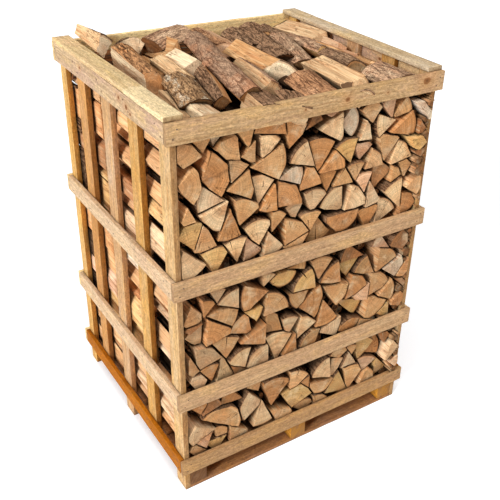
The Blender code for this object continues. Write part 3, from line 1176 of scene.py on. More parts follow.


# ---- the stacked rows ----
# Front row, in centimetres and degrees: heart x and z, radius, the way the round side faces
# (counter-clockwise from the right), opening, and tone.
# Letters for the tones in the lists: whitest, painted shade, cream, tan, orange, yellow, pink, grey,
# brown.
W, D, C, T, O, Y, P, G, B = Tone
FRONT_LOGS = (
    # Upper panel, left third.
    (-53.5, 151.5, 10, -55, 75, T), (-44.8, 145.3, 7, 93, 72, T), (-38.6, 146.8, 6, 75, 55, G),
    (-30.8, 150, 8.3, 235, 78, T), (-26.8, 145.3, 7.5, 102, 50, T),
    (-24.5, 146.5, 6.5, 245, 50, T), (-43.8, 137.5, 9, 42, 60, O), (-43.5, 137.2, 10, -22, 60, O),
    (-53.6, 136.4, 8.3, 0, 130, T), (-50, 131, 8, 265, 62, T), (-35.5, 127.8, 10, 165, 52, C),
    (-35.2, 126.8, 10, 225, 60, C), (-33.7, 123.5, 11, 268, 45, O), (-30, 117.8, 8.8, 66, 64, T),
    (-33.5, 133, 9, 70, 55, T), (-35, 131, 10, 3, 62, T), (-22, 121.8, 11.5, 80, 46, C),
    (-15.7, 129.7, 10.5, 255, 42, O), (-22.5, 107, 9.3, 88, 68, C), (-48.3, 110.5, 11, 98, 55, Y),
    (-43.8, 119.8, 9.3, 272, 45, T), (-53.5, 113.5, 12, -65, 50, C),
    (-40.2, 100.5, 9.8, 88, 60, Y), (-31, 101, 10.5, 95, 52, C), (-26.5, 110.5, 9, -68, 48, P),
    (-18.5, 110.5, 9.5, -75, 52, C), (-16.5, 111, 7.3, 68, 50, T),
    # Middle third.
    (-18.2, 148, 6, 80, 178, O), (-26.5, 137.5, 14.3, -3, 57, T), (-20.5, 140.5, 7.8, 70, 50, C),
    (-10, 142, 9.5, 68, 62, O), (1, 132, 10.8, 138, 52, C), (2.5, 130, 11.8, 82, 52, O),
    (3.3, 129, 11, 22, 46, O), (-14.2, 130.3, 10, -1, 44, G), (-5, 124.5, 9, 38, 65, O),
    (-14.3, 119.5, 9.8, 41, 90, O), (1, 115, 7.8, 78, 70, C), (-6, 112, 6.5, 90, 60, C),
    (-10.5, 102.8, 11, 55, 68, T), (-0.8, 106, 10.5, 216, 40, T), (0.3, 106, 8.3, 92, 70, T),
    (4.3, 110.5, 10, -78, 60, T), (15.8, 110.8, 10.5, 130, 65, C), (15.6, 110, 7.5, -92, 178, O),
    (-3.5, 147, 7, 42, 40, B), (4.5, 145.2, 9, 0, 62, C), (13, 146, 7, 0, 95, G),
    (17.5, 129, 10.5, 105, 62, Y), (8, 120.8, 7.3, 90, 55, O), (10.5, 121, 9, 28, 58, T),
    (20.7, 120.8, 8.3, 92, 60, T),
    # Right third.
    (25.5, 144.5, 7, 92, 85, T), (35, 145.3, 7, 103, 50, P), (24.2, 145.3, 8, 268, 38, C),
    (37.8, 143, 8.8, 187, 58, C), (37, 145, 8, 28, 42, T), (36, 138.3, 11.5, 10, 50, O),
    (45.8, 148.8, 11, -28, 50, G), (50.5, 136.3, 5.8, -90, 178, Y), (48.7, 136.5, 7, 48, 75, B),
    (33.5, 128.5, 9.5, 75, 56, T), (38, 124.5, 9.7, 42, 62, C), (46.5, 115.5, 10.3, 88, 54, T),
    (25, 125, 8.3, 34, 68, T), (22.3, 131.3, 6, 80, 75, P), (31.3, 116.2, 10, 62, 55, O),
    (38.8, 117, 6, 55, 60, T), (25.3, 116.3, 8, 95, 60, P), (16.2, 110.3, 10.3, 40, 66, C),
    (27.8, 120.5, 12, -74, 38, C), (29, 100.5, 8.5, 90, 65, O), (45.3, 105.3, 12, 113, 45, C),
    (45.5, 114.5, 8.5, 0, 70, T), (46, 100, 10, 62, 60, O), (34, 100, 10, 55, 60, C),
    (47.3, 129.3, 7.5, -15, 38, B),
    # Middle panel, left third.
    (-50.8, 89.3, 8.5, -75, 55, T), (-45.8, 82.3, 7.5, 68, 50, O), (-45, 82.5, 13.8, -18, 38, T),
    (-39.8, 87.7, 5.5, 85, 60, C), (-31, 81, 9.5, 122, 62, C), (-44, 69.8, 10.4, 48, 72, O),
    (-45.5, 79.3, 9.3, 240, 60, C), (-46, 80.3, 8.5, 197, 30, B), (-17.8, 84.8, 11, 182, 62, O),
    (-29.3, 79.5, 9, -25, 45, Y), (-24, 66.5, 10.8, 130, 55, O), (-30.5, 65.8, 13, 1, 44, O),
    (-47.5, 59.5, 9, 52, 80, C), (-51, 68, 10.5, -78, 28, T), (-36.5, 60.5, 9.5, 88, 70, T),
    (-43.3, 51.5, 8, 95, 60, O), (-49, 46, 10.3, 92, 60, C), (-37.3, 62, 12, -83, 33, C),
    (-27.5, 52.7, 8.5, 108, 72, C), (-33.3, 55, 9, -50, 40, O), (-17.3, 50, 10, 130, 75, C),
    (-18, 86, 6, 68, 60, C),
    # Middle third.
    (-10.8, 90.5, 5.2, -88, 178, Y), (-8.5, 91.5, 8, -8, 24, T), (4.5, 78.8, 9.5, 138, 78, Y),
    (1.5, 79, 8.3, 210, 70, T), (-3, 72.3, 12, -5, 78, O), (6, 83.3, 9, 82, 62, T),
    (17.8, 77, 10.2, 130, 60, O), (9.8, 77.8, 12.3, -33, 50, T), (9.7, 70, 12, -80, 52, O),
    (-2.3, 57.3, 9.3, 55, 48, C), (-7.5, 61.5, 7, 85, 60, C), (-18.5, 73.3, 10.3, 42, 78, T),
    (-18, 65, 8.3, 35, 100, T), (-12.5, 50, 12.5, 82, 60, C), (-4, 58.5, 9, 255, 38, O),
    (7, 49.5, 8.3, 115, 90, T), (8.3, 56, 11, -7, 46, C),
    # Right third.
    (30, 85, 11.5, 160, 40, B), (23.3, 77.3, 8.5, 92, 75, Y), (35, 75.8, 9.5, 140, 52, T),
    (42.5, 86.3, 10.5, 145, 35, P), (37, 77.3, 9.8, 55, 60, T), (51.3, 84, 9.5, 128, 62, B),
    (41.3, 76.3, 8.3, -5, 68, G), (53.8, 81, 11, 250, 40, O), (34, 65.3, 10.5, 50, 72, T),
    (38.5, 63.8, 8.8, 8, 75, T), (20.8, 68.3, 11, 45, 70, O), (33.8, 72.3, 9.7, 235, 62, P),
    (20, 65.3, 12, -28, 38, Y), (33.5, 63.3, 10.7, -55, 68, T), (46.5, 58, 7.5, 245, 55, Y),
    (46, 57.3, 9.5, 5, 62, O), (47.8, 69.5, 9, -25, 40, B), (25, 48, 8, 95, 90, O),
    (37.5, 51.5, 8, 180, 40, T),
    # Lower panel.
    (-49.3, 36.8, 6, 78, 60, O), (-42, 26.3, 11, 176, 55, C), (-39.5, 27, 9.6, 50, 176, T),
    (-28.3, 35.3, 10, 152, 45, O), (-46, 36.5, 7.5, 40, 50, B), (-20, 30.5, 9.3, 172, 85, C),
    (-14, 27.5, 12, 78, 62, O), (-20, 36.3, 6, 110, 70, T), (-19.3, 30.3, 12, -88, 40, C),
    (-4, 19, 12, 68, 100, Y), (-4.8, 29, 10.3, 63, 60, T), (15.8, 29, 10, 128, 62, C),
    (6, 25, 8, 112, 40, O), (11.8, 28.8, 7, -100, 170, T), (26.5, 16.8, 12.5, 140, 52, Y),
    (17.5, 26.5, 10, 68, 42, C), (30.8, 31, 8.5, 150, 60, C), (20, 37.5, 5, 90, 120, T),
    (26.5, 36, 5, 85, 60, T), (32, 31.7, 10, 70, 64, Y), (36, 32.3, 9, 15, 76, O),
    (35, 21, 9.3, 72, 85, P), (27, 17, 12, 75, 50, T), (34.5, 16.5, 7.5, 35, 70, T),
    (43, 17, 9, 50, 70, Y), (46.3, 26.5, 11.5, 57, 36, C), (54.3, 28, 7.5, 240, 50, P),
    (54, 41, 9, 205, 45, B), (-41.5, 25.3, 8.5, 225, 45, P), (-52.5, 15, 7, 60, 80, T),
    (-40.5, 14.5, 6.5, 92, 80, Y), (-40, 19.5, 6, 60, 80, T), (-35, 16, 9, 50, 80, T),
    (-13.5, 22, 10, -40, 50, T), (3, 14.5, 5.5, 90, 100, T), (9, 14, 6.5, 60, 80, T),
)


@dataclass
class StackedLog:
    """One log of a row, ready to be made.

    Attributes:
        outline: Its end in place, as (x, z).
        heart: Where its heart lies.
        turn: Turn of the end, in radians.
        radius: Heart to bark.
        tone: The wood's colour.
        sunk: How far its front end lies behind the others, in metres.
    """

    outline: Array
    heart: Array
    turn: float
    radius: float
    tone: Tone
    sunk: float = 0.0


@dataclass
class LogRow:
    """A row of logs from wall to wall, as long as one log. Sizes are in metres.

    Attributes:
        node: The CAD solid that the row stands for.
        seed: Seed of everything random in it.
        top: Height that the row is stacked to.
        steps: Moves given to the falling logs; none for the laid front row.
        ragged: Largest distance of a log's front end behind the row's front.
        swell_rounds: How many times the ends grow into the space between them.
        swell_step: Growth in each round.
        seams: Narrowest and widest seam.
        hollow: How far the outermost logs may stay behind the walls.
        peeled_share: Share of the logs at the side walls whose bark has come off.
        sticks: Nearest and farthest front end of the thin sticks in the gaps, if there are any.
        bare_wall: Width of the strip at the left wall that gets no sticks.
        wall_cut: Least and most that is taken off the corners at a side wall.
        lean: How far the logs above lie further back, in radians.
        stick_size: Size of the sticks, if one that fills its gap is 1.
        at_front: Whether this is the front row.
        open_behind: Whether the row's far ends show.
        logs: The logs.
    """

    node: str
    seed: int
    top: float
    steps: int
    ragged: float = 0.030
    swell_rounds: int = 2
    swell_step: float = 0.0045
    seams: tuple[float, float] = (0.0020, 0.0070)
    hollow: float = 0.016
    peeled_share: float = 0.93
    sticks: tuple[float, ...] = ()
    bare_wall: float = 0.0
    wall_cut: tuple[float, float] = (0.008, 0.032)
    lean: float = 0.0
    stick_size: float = 1.0
    at_front: bool = False
    open_behind: bool = False
    logs: list[StackedLog] = field(default_factory=list)

    FILL_SHARE, MARGIN, SMALLEST = 0.86, 0.0012, 2e-4
    # Share of each tone in the order of Tone.
    TONE_SHARES = (0.06, 0, 0.18, 0.32, 0.14, 0.10, 0.10, 0.06, 0.04)
    # Light on the ends, at the walls and inside, and how deep the last two begin.
    SUNLIT, INNER_SHADE, SHADE_DEPTH = (1.95, 2.05, 2.32), 0.16, 0.040
    # Painted shade by height: logs whose heart lies below the first keep the second share of their
    # colour, the others the third.
    WEATHERED_BELOW, WEATHERED, FRESH = 0.98, 0.80, 0.95
    VOID_STEP, THINNEST, STICK_INSET, WALL_STICKS = 0.006, 0.0032, 0.025, 0.05
    BY_WALL, WALL_REACH = 0.02, 0.012
    SIDE_FROM, MIDDLE_PANEL = 0.40, (0.44, 1.02)
    PROUD_LOW, PROUD_HIGH = (0.002, 0.014), (0.014, 0.030)
    SLANT, END_GAP, END_ROUNDING = 0.028, 0.0006, 0.0012
    SIDE_SHARES = (0.0, 0.008, 0.10, 0.22, 0.36, 0.5, 0.64, 0.78, 0.90, 0.992, 1.0)
    INNER_SHARES = (0.0, 0.008, 0.06, 0.16, 0.45, 0.75, 0.992, 1.0)
    CRACKED_SHARE, OUTLINE_STEP = 0.30, 0.016
    # Logs near a side wall, and how much further out the bark of a peeled one would lie.
    NEAR_WALL, PEELED = 0.05, 1.6
    # Logs against a side wall, and how far the cuts at their corners are turned, in radians.
    AGAINST_WALL, CORNER_SLOPES = 0.012, (0.5, 0.9)
    # The least that a stick of the front row lies behind, and what is added to the radius of a
    # stick so that it shows no bark.
    LEAST_BEHIND, BARKLESS = 0.012, 0.02
    # Strip along the top that gets no sticks, and the play round a stick.
    ROOM_ABOVE, ROOM_ROUND = 0.02, 0.0008
    # Logs at the right wall that may stand out, and their distance from the rails.
    RIGHT_WALL, RAIL_GAP = 0.035, 0.004
    # Share of the front ends in line, and of those in line or a little behind it; the play of the
    # ends in line and of the far ends.
    IN_LINE, NOT_FAR, LINE_PLAY, BACK_PLAY = 0.62, 0.90, 0.006, 0.008
    # Roughness of bark and of split wood, how it changes across, along and from log to log, the
    # waves along a log, and how it gets thinner towards its ends.
    BARK_ROUGH, SPLIT_ROUGH, ROUGH_ACROSS, ROUGH_ALONG, ROUGH_SHIFT = 0.0016, 0.0011, 42, 4.5, 3.1
    WAVE, TAPER = 0.0014, 0.02

    def __post_init__(self) -> None:
        """Read the space that the row has from the frame."""
        self.low, self.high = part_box(self.node)
        self.space = (self.low.x + self.MARGIN, self.high.x - self.MARGIN,
                      self.low.z + 0.0004, self.top)
        self.rng = np.random.default_rng(self.seed)

    def lay_by_hand(self, laid: Sequence[tuple]) -> None:
        """Place the logs of a written list.

        Args:
            laid: The logs, as in FRONT_LOGS.
        """
        shapes = [Wedge(radius * CM, opening).outline(12 if opening > 150 else 8)
                  for _, _, radius, _, opening, _ in laid]
        hearts = np.array([(x * CM, z * CM) for x, z, *_ in laid])
        turns = np.array([math.radians(facing - 90) for *_, facing, _, _ in laid])
        self.keep(Stack(shapes, hearts, turns, self.space), [tone for *_, tone in laid])

    def drop(self) -> None:
        """Let random logs fall and settle into the space."""
        left, right, bottom, top = self.space
        room = (right - left) * (top - bottom)
        shapes: list[Array] = []
        while sum(area(shape) for shape in shapes) < room * self.FILL_SHARE:
            shapes.append(Wedge.drawn(self.rng).outline())
        columns = round(math.sqrt(len(shapes) * (right - left) / (top - bottom)))
        lines = math.ceil(len(shapes) / columns)
        cells = [(column, line) for line in range(lines) for column in range(columns)]
        self.rng.shuffle(cells)
        hearts = [(left + (column + 0.5 + self.rng.uniform(-0.2, 0.2)) * (right - left) / columns,
                   bottom + (line + 0.5 + self.rng.uniform(-0.2, 0.2)) * (top - bottom) / lines)
                  for column, line in cells[:len(shapes)]]
        turns = self.rng.uniform(0, 2 * math.pi, len(shapes))
        stack = Stack(shapes, np.array(hearts), turns, self.space)
        stack.settle(self.steps, 0.62, 0.0004, 0.004, self.rng)
        stack.settle(self.steps // 3, 1.0, 0.0002, 0.0004, self.rng)
        tones = np.array(list(Tone), dtype=object)
        self.keep(stack, list(self.rng.choice(tones, len(shapes), p=self.TONE_SHARES)))

    def keep(self, stack: Stack, tones: Sequence[Tone]) -> None:
        """Grow the placed ends together, keep them as the row's logs and fill the gaps.

        Args:
            stack: The placed ends.
            tones: Tone of each log.
        """
        outlines = swell(stack.outlines(), self.swell_rounds, self.swell_step, self.seams, self.space,
                         self.hollow, self.rng)
        outlines = [self.cut_at_walls(outline) for outline in outlines]
        grown = self.swell_rounds * self.swell_step
        for outline, heart, turn, shape, tone in zip(outlines, stack.heart_places(), stack.turns,
                                                     stack.shapes, tones):
            if len(outline) < 3 or area(outline) < self.SMALLEST:
                continue
            radius = float(np.linalg.norm(shape, axis=1).max()) + grown
            at_wall = abs(outline[:, 0]).max() > self.space[1] - self.NEAR_WALL
            if at_wall and self.rng.random() < self.peeled_share:
                radius *= self.PEELED
            self.logs.append(StackedLog(outline, heart, turn, radius, tone))
        for place, reach in self.voids(outlines) if self.sticks else ():
            stick = Wedge(reach * self.stick_size, 360).outline() + place
            behind = self.rng.uniform(*self.sticks)
            # The sticks in the gaps are painted shade, but those at the front row's right wall get a tan
            # tone.
            tone = Tone.DARK
            if self.at_front:
                from_wall = self.space[1] - place[0]
                behind = min(behind, max(self.LEAST_BEHIND, from_wall * 0.5))
                if from_wall < self.WALL_STICKS:
                    tone, reach = Tone.TAN, reach + self.BARKLESS
            self.logs.append(StackedLog(stick, place, self.rng.uniform(0, 6), reach, tone, behind))

    def cut_at_walls(self, outline: Array) -> Array:
        """Take the corners off a log that lies against a side wall, which leaves dark grooves.

        Args:
            outline: The log's outline.

        Returns:
            What is left of it.
        """
        for sign in (-1, 1):
            if (outline[:, 0] * sign).max() < self.space[1] - self.AGAINST_WALL:
                continue
            for tilt in (-1, 1):
                angle = tilt * self.rng.uniform(*self.CORNER_SLOPES)
                normal = np.array([sign * math.cos(angle), math.sin(angle)])
                limit = (outline @ normal).max() - self.rng.uniform(*self.wall_cut)
                cut = trim(outline, normal, limit)
                outline = cut if len(cut) > 2 else outline
        return outline

    def voids(self, outlines: Sequence[Array]) -> list[tuple[Array, float]]:
        """Find the places between the logs that still take a thin stick.

        Args:
            outlines: The logs' outlines.

        Returns:
            The middle and radius of each stick.
        """
        left, right, bottom, top = self.space
        across, up = np.meshgrid(np.arange(left, right, self.VOID_STEP),
                                 np.arange(bottom, top - self.ROOM_ABOVE, self.VOID_STEP))
        places = np.stack([across.ravel(), up.ravel()], 1)
        room = np.min([places[:, 0] - left - self.bare_wall, right - places[:, 0],
                       places[:, 1] - bottom], axis=0)
        for outline in outlines:
            edge = sides(outline)
            length = np.maximum((edge ** 2).sum(1), 1e-12)
            offset = places[:, None] - outline[None]
            share = np.clip((offset * edge).sum(2) / length, 0, 1)
            gap = np.linalg.norm(offset - edge * share[..., None], axis=2).min(1)
            inside = ((offset * outward(edge)).sum(2) < 0).all(1)
            room = np.minimum(room, np.where(inside, -gap, gap))
        found = []
        while room.max() > self.THINNEST:
            best = int(room.argmax())
            place, reach = places[best], float(room[best])
            found.append((place, reach - self.ROOM_ROUND))
            room = np.minimum(room, np.linalg.norm(places - place, axis=1) - reach)
        return found

    def proud_by(self, outline: Array) -> float:
        """How far a log at the right wall of the front row stands out between the rails.

        Args:
            outline: The log's outline.

        Returns:
            The distance, or 0 where the log has to stay behind a rail.
        """
        if not self.at_front or outline[:, 0].max() < self.space[1] - self.RIGHT_WALL:
            return 0.0
        low, high = outline[:, 1].min(), outline[:, 1].max()
        for level in LEVELS:
            rail_low, rail_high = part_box(f"front_rail_{level}")
            if low < rail_high.z + self.RAIL_GAP and high > rail_low.z - self.RAIL_GAP:
                return 0.0
        in_middle = self.MIDDLE_PANEL[0] < outline[:, 1].mean() < self.MIDDLE_PANEL[1]
        return self.rng.uniform(*(self.PROUD_LOW if in_middle else self.PROUD_HIGH))

    def slanted(self, outline: Array) -> Array:
        """How far each corner of a slanted cut lies from one straight across."""
        return (outline - outline.mean(0)) @ self.rng.normal(0, self.SLANT, 2)

    def front_of(self, outline: Array, sunk: float) -> Array:
        """Find the front end: a slanted cut, some logs further in than others.

        Args:
            outline: The log's outline.
            sunk: How far further back the end lies.

        Returns:
            Y of the end at each corner.
        """
        proud = self.proud_by(outline)
        drawn = self.rng.random()
        back = self.rng.uniform(0, self.LINE_PLAY)
        if drawn > self.IN_LINE:
            back = self.rng.uniform(self.LINE_PLAY, 0.5 * self.ragged)
        if drawn > self.NOT_FAR:
            back = self.rng.uniform(0.5 * self.ragged, self.ragged)
        back = -proud if proud else back + sunk
        slope = self.slanted(outline)
        return self.low.y + self.END_GAP + back + slope - slope.min()

    def back_of(self, outline: Array) -> Array:
        """Find the far end.

        Args:
            outline: The log's outline.

        Returns:
            Y of the end at each corner.
        """
        back = abs(self.rng.normal(0, self.BACK_PLAY))
        slope = self.slanted(outline)
        reach = (self.high.z - outline[:, 1].max()) * math.tan(self.lean)
        if self.open_behind and outline[:, 0].min() < self.space[0] + self.BY_WALL:
            reach += self.WALL_REACH
        return self.high.y - self.END_GAP - back + reach + slope - slope.max()

    def build(self, finish: str, wood: Wood) -> Piece:
        """Make the row's logs as one piece.

        Args:
            finish: Name of the logs' finish.
            wood: The made finishes.

        Returns:
            The row.
        """
        gather = MeshGather()
        for index, log in enumerate(self.logs):
            self.add_log(gather, log, index)
        return gather.build(self.node.replace("log_row", "stacked_logs"), wood.logs[finish])

    def add_log(self, gather: MeshGather, log: StackedLog, index: int) -> None:
        """Add one log: its outline in small steps, notched by drying cracks, in rings along it.

        Args:
            gather: What collects the logs.
            log: The log.
            index: Its number in the row.
        """
        outline, bark = self.outline_with_cracks(log)
        near, far = self.front_of(outline, log.sunk), self.back_of(outline)
        if self.open_behind and log.tone is Tone.DARK:
            far = far - self.STICK_INSET
        side = abs(outline[:, 0]).max() > self.SIDE_FROM
        shares = self.SIDE_SHARES if side else self.INNER_SHARES
        normal, middle = corner_normals(outline), outline.mean(0)
        rings = []
        for share in shares:
            y = near + (far - near) * share
            place = np.stack([outline[:, 0] * self.ROUGH_ACROSS,
                              y * self.ROUGH_ALONG + index * self.ROUGH_SHIFT,
                              outline[:, 1] * self.ROUGH_ACROSS], 1)
            rough = np.where(bark, self.BARK_ROUGH, self.SPLIT_ROUGH)
            rough = lattice_noise(place, self.seed, 2) * rough
            wave = lattice_noise(place * (0.3, 1, 0.3), self.seed + 5) * self.WAVE
            inset = -self.END_ROUNDING if share in (0.0, 1.0) else 0.0
            points = outline + normal * (rough + wave + inset)[:, None]
            points = middle + (points - middle) * (1 - self.TAPER * abs(share - 0.5))
            rings.append(np.stack([points[:, 0], y, points[:, 1]], 1))
        rings = np.array(rings)
        rings[..., 0] = np.clip(rings[..., 0], self.space[0] - 0.001, self.space[1] + 0.001)
        sections = np.concatenate([rotated(rings[..., [0, 2]] - log.heart, -log.turn),
                                   rings[..., 1:2] + index * GRAIN_STEP], -1)
        gather.add_tube(rings, sections, bark, shift_colour(log.tone, self.rng), log.radius,
                        self.light_along(log, side, shares, far.mean() - near.mean()))

    def light_along(self, log: StackedLog, side: bool, shares: Sequence[float],
                    length: float) -> Array:
        """Find how light the wood is from the near end to the far one.

        Args:
            log: The log.
            side: Whether it shows between the slats of a side.
            shares: Place of each ring along it, from 0 to 1.
            length: Its length.

        Returns:
            The light at each ring, in three numbers.
        """
        depth = length * np.array(shares)
        if self.open_behind:
            depth = np.minimum(depth, length - depth)
        inside = self.SUNLIT if side and log.tone is not Tone.DARK else self.INNER_SHADE
        end = self.INNER_SHADE if log.sunk and log.tone is not Tone.DARK else 1.0
        deep = np.clip(depth / self.SHADE_DEPTH, 0, 1)[:, None, None]
        # Painted shade: the lower logs are darker than the upper ones.
        height_shade = self.WEATHERED if log.heart[1] < self.WEATHERED_BELOW else self.FRESH
        return (end + (np.array(inside) - end) * deep) * height_shade

    def outline_with_cracks(self, log: StackedLog) -> tuple[Array, Array]:
        """Cut the outline into steps of about 15 mm, some of them notched by a drying crack.

        Args:
            log: The log.

        Returns:
            The points, and which of the sides after them are bark.
        """
        points, bark = [], []
        count = len(log.outline)
        crack_side = self.rng.integers(count) if self.rng.random() < self.CRACKED_SHARE else -1
        for index in range(count):
            start, end = log.outline[index], log.outline[(index + 1) % count]
            length = float(np.linalg.norm(end - start))
            reach = min(np.linalg.norm(start - log.heart), np.linalg.norm(end - log.heart))
            is_bark = reach > log.radius - 0.008
            steps = max(1, round(length / self.OUTLINE_STEP))
            points += [start + (end - start) * step / steps for step in range(steps)]
            bark += [is_bark] * steps
            if index == crack_side and length > 0.012 and is_bark:
                middle = start + (end - start) * (1 - 0.5 / steps)
                inwards = (log.heart - middle) * self.rng.uniform(0.25, 0.75)
                along = (end - start) / length * self.rng.uniform(0.0007, 0.0014)
                points += [middle - along, middle + inwards, middle + along]
                bark += [False, False, True]
        return np.array(points), np.array(bark)


# ---- the loose logs on top ----
def bow_radius(bulge: float) -> float:
    """Radius of an arc over a chord of 1, by how far it rises."""
    return 1 / (8 * bulge) + bulge / 2


@dataclass(frozen=True)
class LooseLog:
    """A log that lies on the heap. Lengths are in centimetres.

    Attributes:
        name: The piece's name.
        near: Place of its near end.
        run: From its near end to its far end.
        corners: Corners of its end about that place, counter-clockwise from the front.
        bark: Sides of the end that are bark, counted from 0, and how far each one bulges, as a
            share of its width.
        tone: Colour of the split wood.
        finish: Name of its finish.
        spread: Size of the far end, if the near end is 1.
        relief: Depth of the bark's relief, in metres.
        node: The CAD solid that it stands for, if it has one.
        cut: Slant of its near end across and upwards; its top lies further back if the second is
            above 0.
        end_light: Light painted on its near end, as a factor on its own colour; below 1 it is painted
            shade.
        end_tone: Colour of its near end, if it differs.
        rimmed: Whether its near end shows a rim of bark.
    """

    name: str
    near: Place
    run: Place
    corners: tuple[tuple[float, float], ...]
    bark: tuple[tuple[int, float], ...]
    tone: Tone
    finish: str = "oak"
    spread: float = 1.0
    relief: float = 0.003
    node: str = ""
    cut: tuple[float, float] = (-0.15, 0.30)
    end_light: float = 1.1
    end_tone: Tone | None = None
    rimmed: bool = True

    AROUND, ALONG, END_SHARE, END_ROUNDING = 66, 36, 0.006, 0.0016
    # Size of the grain of bark and of torn wood, across and along the log.
    BARK_CELL, TORN_CELL, TORN_BROAD = (0.013, 0.060, 0.013), (0.010, 0.160, 0.010), (0.22, 0.6, 0.22)
    NO_BARK, NO_RIM = 1.0, 9.0
    # Depth of the small and the broad waves of torn wood, in metres.
    TORN_FINE, TORN_DEEP = 0.0018, 0.0038
    # Spread of the slants of the near and far end, and of the bend along the log.
    NEAR_SLANT, FAR_SLANT, BEND = 0.03, 0.06, 0.003

    def outline(self) -> tuple[Array, Array]:
        """Spread points evenly round the end.

        Returns:
            The points, and whether the side after each one is bark.
        """
        corners = np.array(self.corners) * CM
        bulges = dict(self.bark)
        edges = sides(corners)
        lengths = np.linalg.norm(edges, axis=1)
        points, on_bark = [], []
        for side, (corner, edge, length) in enumerate(zip(corners, edges, lengths)):
            count = max(2, round(length / lengths.sum() * self.AROUND))
            bulge = bulges.get(side, 0.0)
            for share in np.arange(count) / count:
                rise = 0.0
                if bulge:
                    round_by = bow_radius(bulge)
                    rise = math.sqrt(round_by ** 2 - (share - 0.5) ** 2) - round_by + bulge
                points.append(corner + edge * share + outward(edge) * rise)
                on_bark.append(bulge > 0)
        return np.array(points), np.array(on_bark)

    def heart(self) -> tuple[Array, float]:
        """Find the bark's own circle, or a place well below a log without bark.

        Returns:
            Its middle and radius.
        """
        corners = np.array(self.corners) * CM
        if not self.bark:
            return corners.mean(0) - (0.01, 0.08), self.NO_BARK
        side, bulge = self.bark[0]
        start, end = corners[side], corners[(side + 1) % len(corners)]
        chord = float(np.linalg.norm(end - start))
        radius = chord * bow_radius(bulge)
        return (start + end) / 2 - outward(end - start) / chord * (radius - bulge * chord), radius

    def build(self, seed: int, wood: Wood) -> Piece:
        """Make the log, with torn split faces and rough bark.

        Args:
            seed: Seed of everything random in it.
            wood: The made finishes.

        Returns:
            The log.
        """
        rng = np.random.default_rng(seed)
        outline, on_bark = self.outline()
        heart, radius = self.heart()
        normal = corner_normals(outline)
        run = Vector(self.run) * CM
        ahead = run.normalized()
        axes = np.array([ahead.cross(Vector(Z_AXIS)).normalized(), ahead, Vector(Z_AXIS)])
        tilt_near = rng.normal(self.cut, self.NEAR_SLANT, 2)
        tilt_far = rng.normal(0, self.FAR_SLANT, 2)
        bend = rng.normal(0, self.BEND, 2)
        skin = on_bark & np.roll(on_bark, 1)
        middle_shares = np.linspace(self.END_SHARE, 1 - self.END_SHARE, self.ALONG)
        shares = np.concatenate([[0.0], middle_shares, [1.0]])
        rings, sections = [], []
        for share in shares:
            near = (outline @ tilt_near) * max(0.0, 1 - 3 * share)
            far = (outline @ tilt_far) * max(0.0, 3 * share - 2)
            along = run.length * share + near + far
            place = np.stack([outline[:, 0], along, outline[:, 1]], 1)
            ridge = 1 - 2 * np.abs(lattice_noise(place / self.BARK_CELL, seed, 3))
            torn = lattice_noise(place / self.TORN_CELL, seed + 1, 3) * self.TORN_FINE
            broad = lattice_noise(place / self.TORN_CELL * self.TORN_BROAD, seed + 2, 2)
            torn += broad * self.TORN_DEEP
            lift = np.where(skin, ridge * self.relief * 0.7 - self.relief * 0.4, torn)
            inset = self.END_ROUNDING if share in (0.0, 1.0) else 0.0
            flat = outline * (1 + (self.spread - 1) * share)
            section = flat - heart
            flat = flat + normal * (lift - inset)[:, None] + bend * math.sin(math.pi * share)
            rings.append(np.stack([flat[:, 0], along, flat[:, 1]], 1))
            sections.append(np.stack([section[:, 0], section[:, 1], along + seed * GRAIN_STEP], 1))
        gather = MeshGather()
        shades = np.ones((len(shares), len(outline), 3))
        # Painted light on the near end; a factor below 1 paints shade.
        shades[0] = np.array((self.end_tone or self.tone).value) / self.tone.value * self.end_light
        gather.add_tube(np.array(rings) @ axes + np.array(Vector(self.near) * CM),
                        np.array(sections), on_bark, shift_colour(self.tone, rng, 0.04),
                        radius if self.rimmed else self.NO_RIM, shades)
        return gather.build(self.name, wood.logs[self.finish])


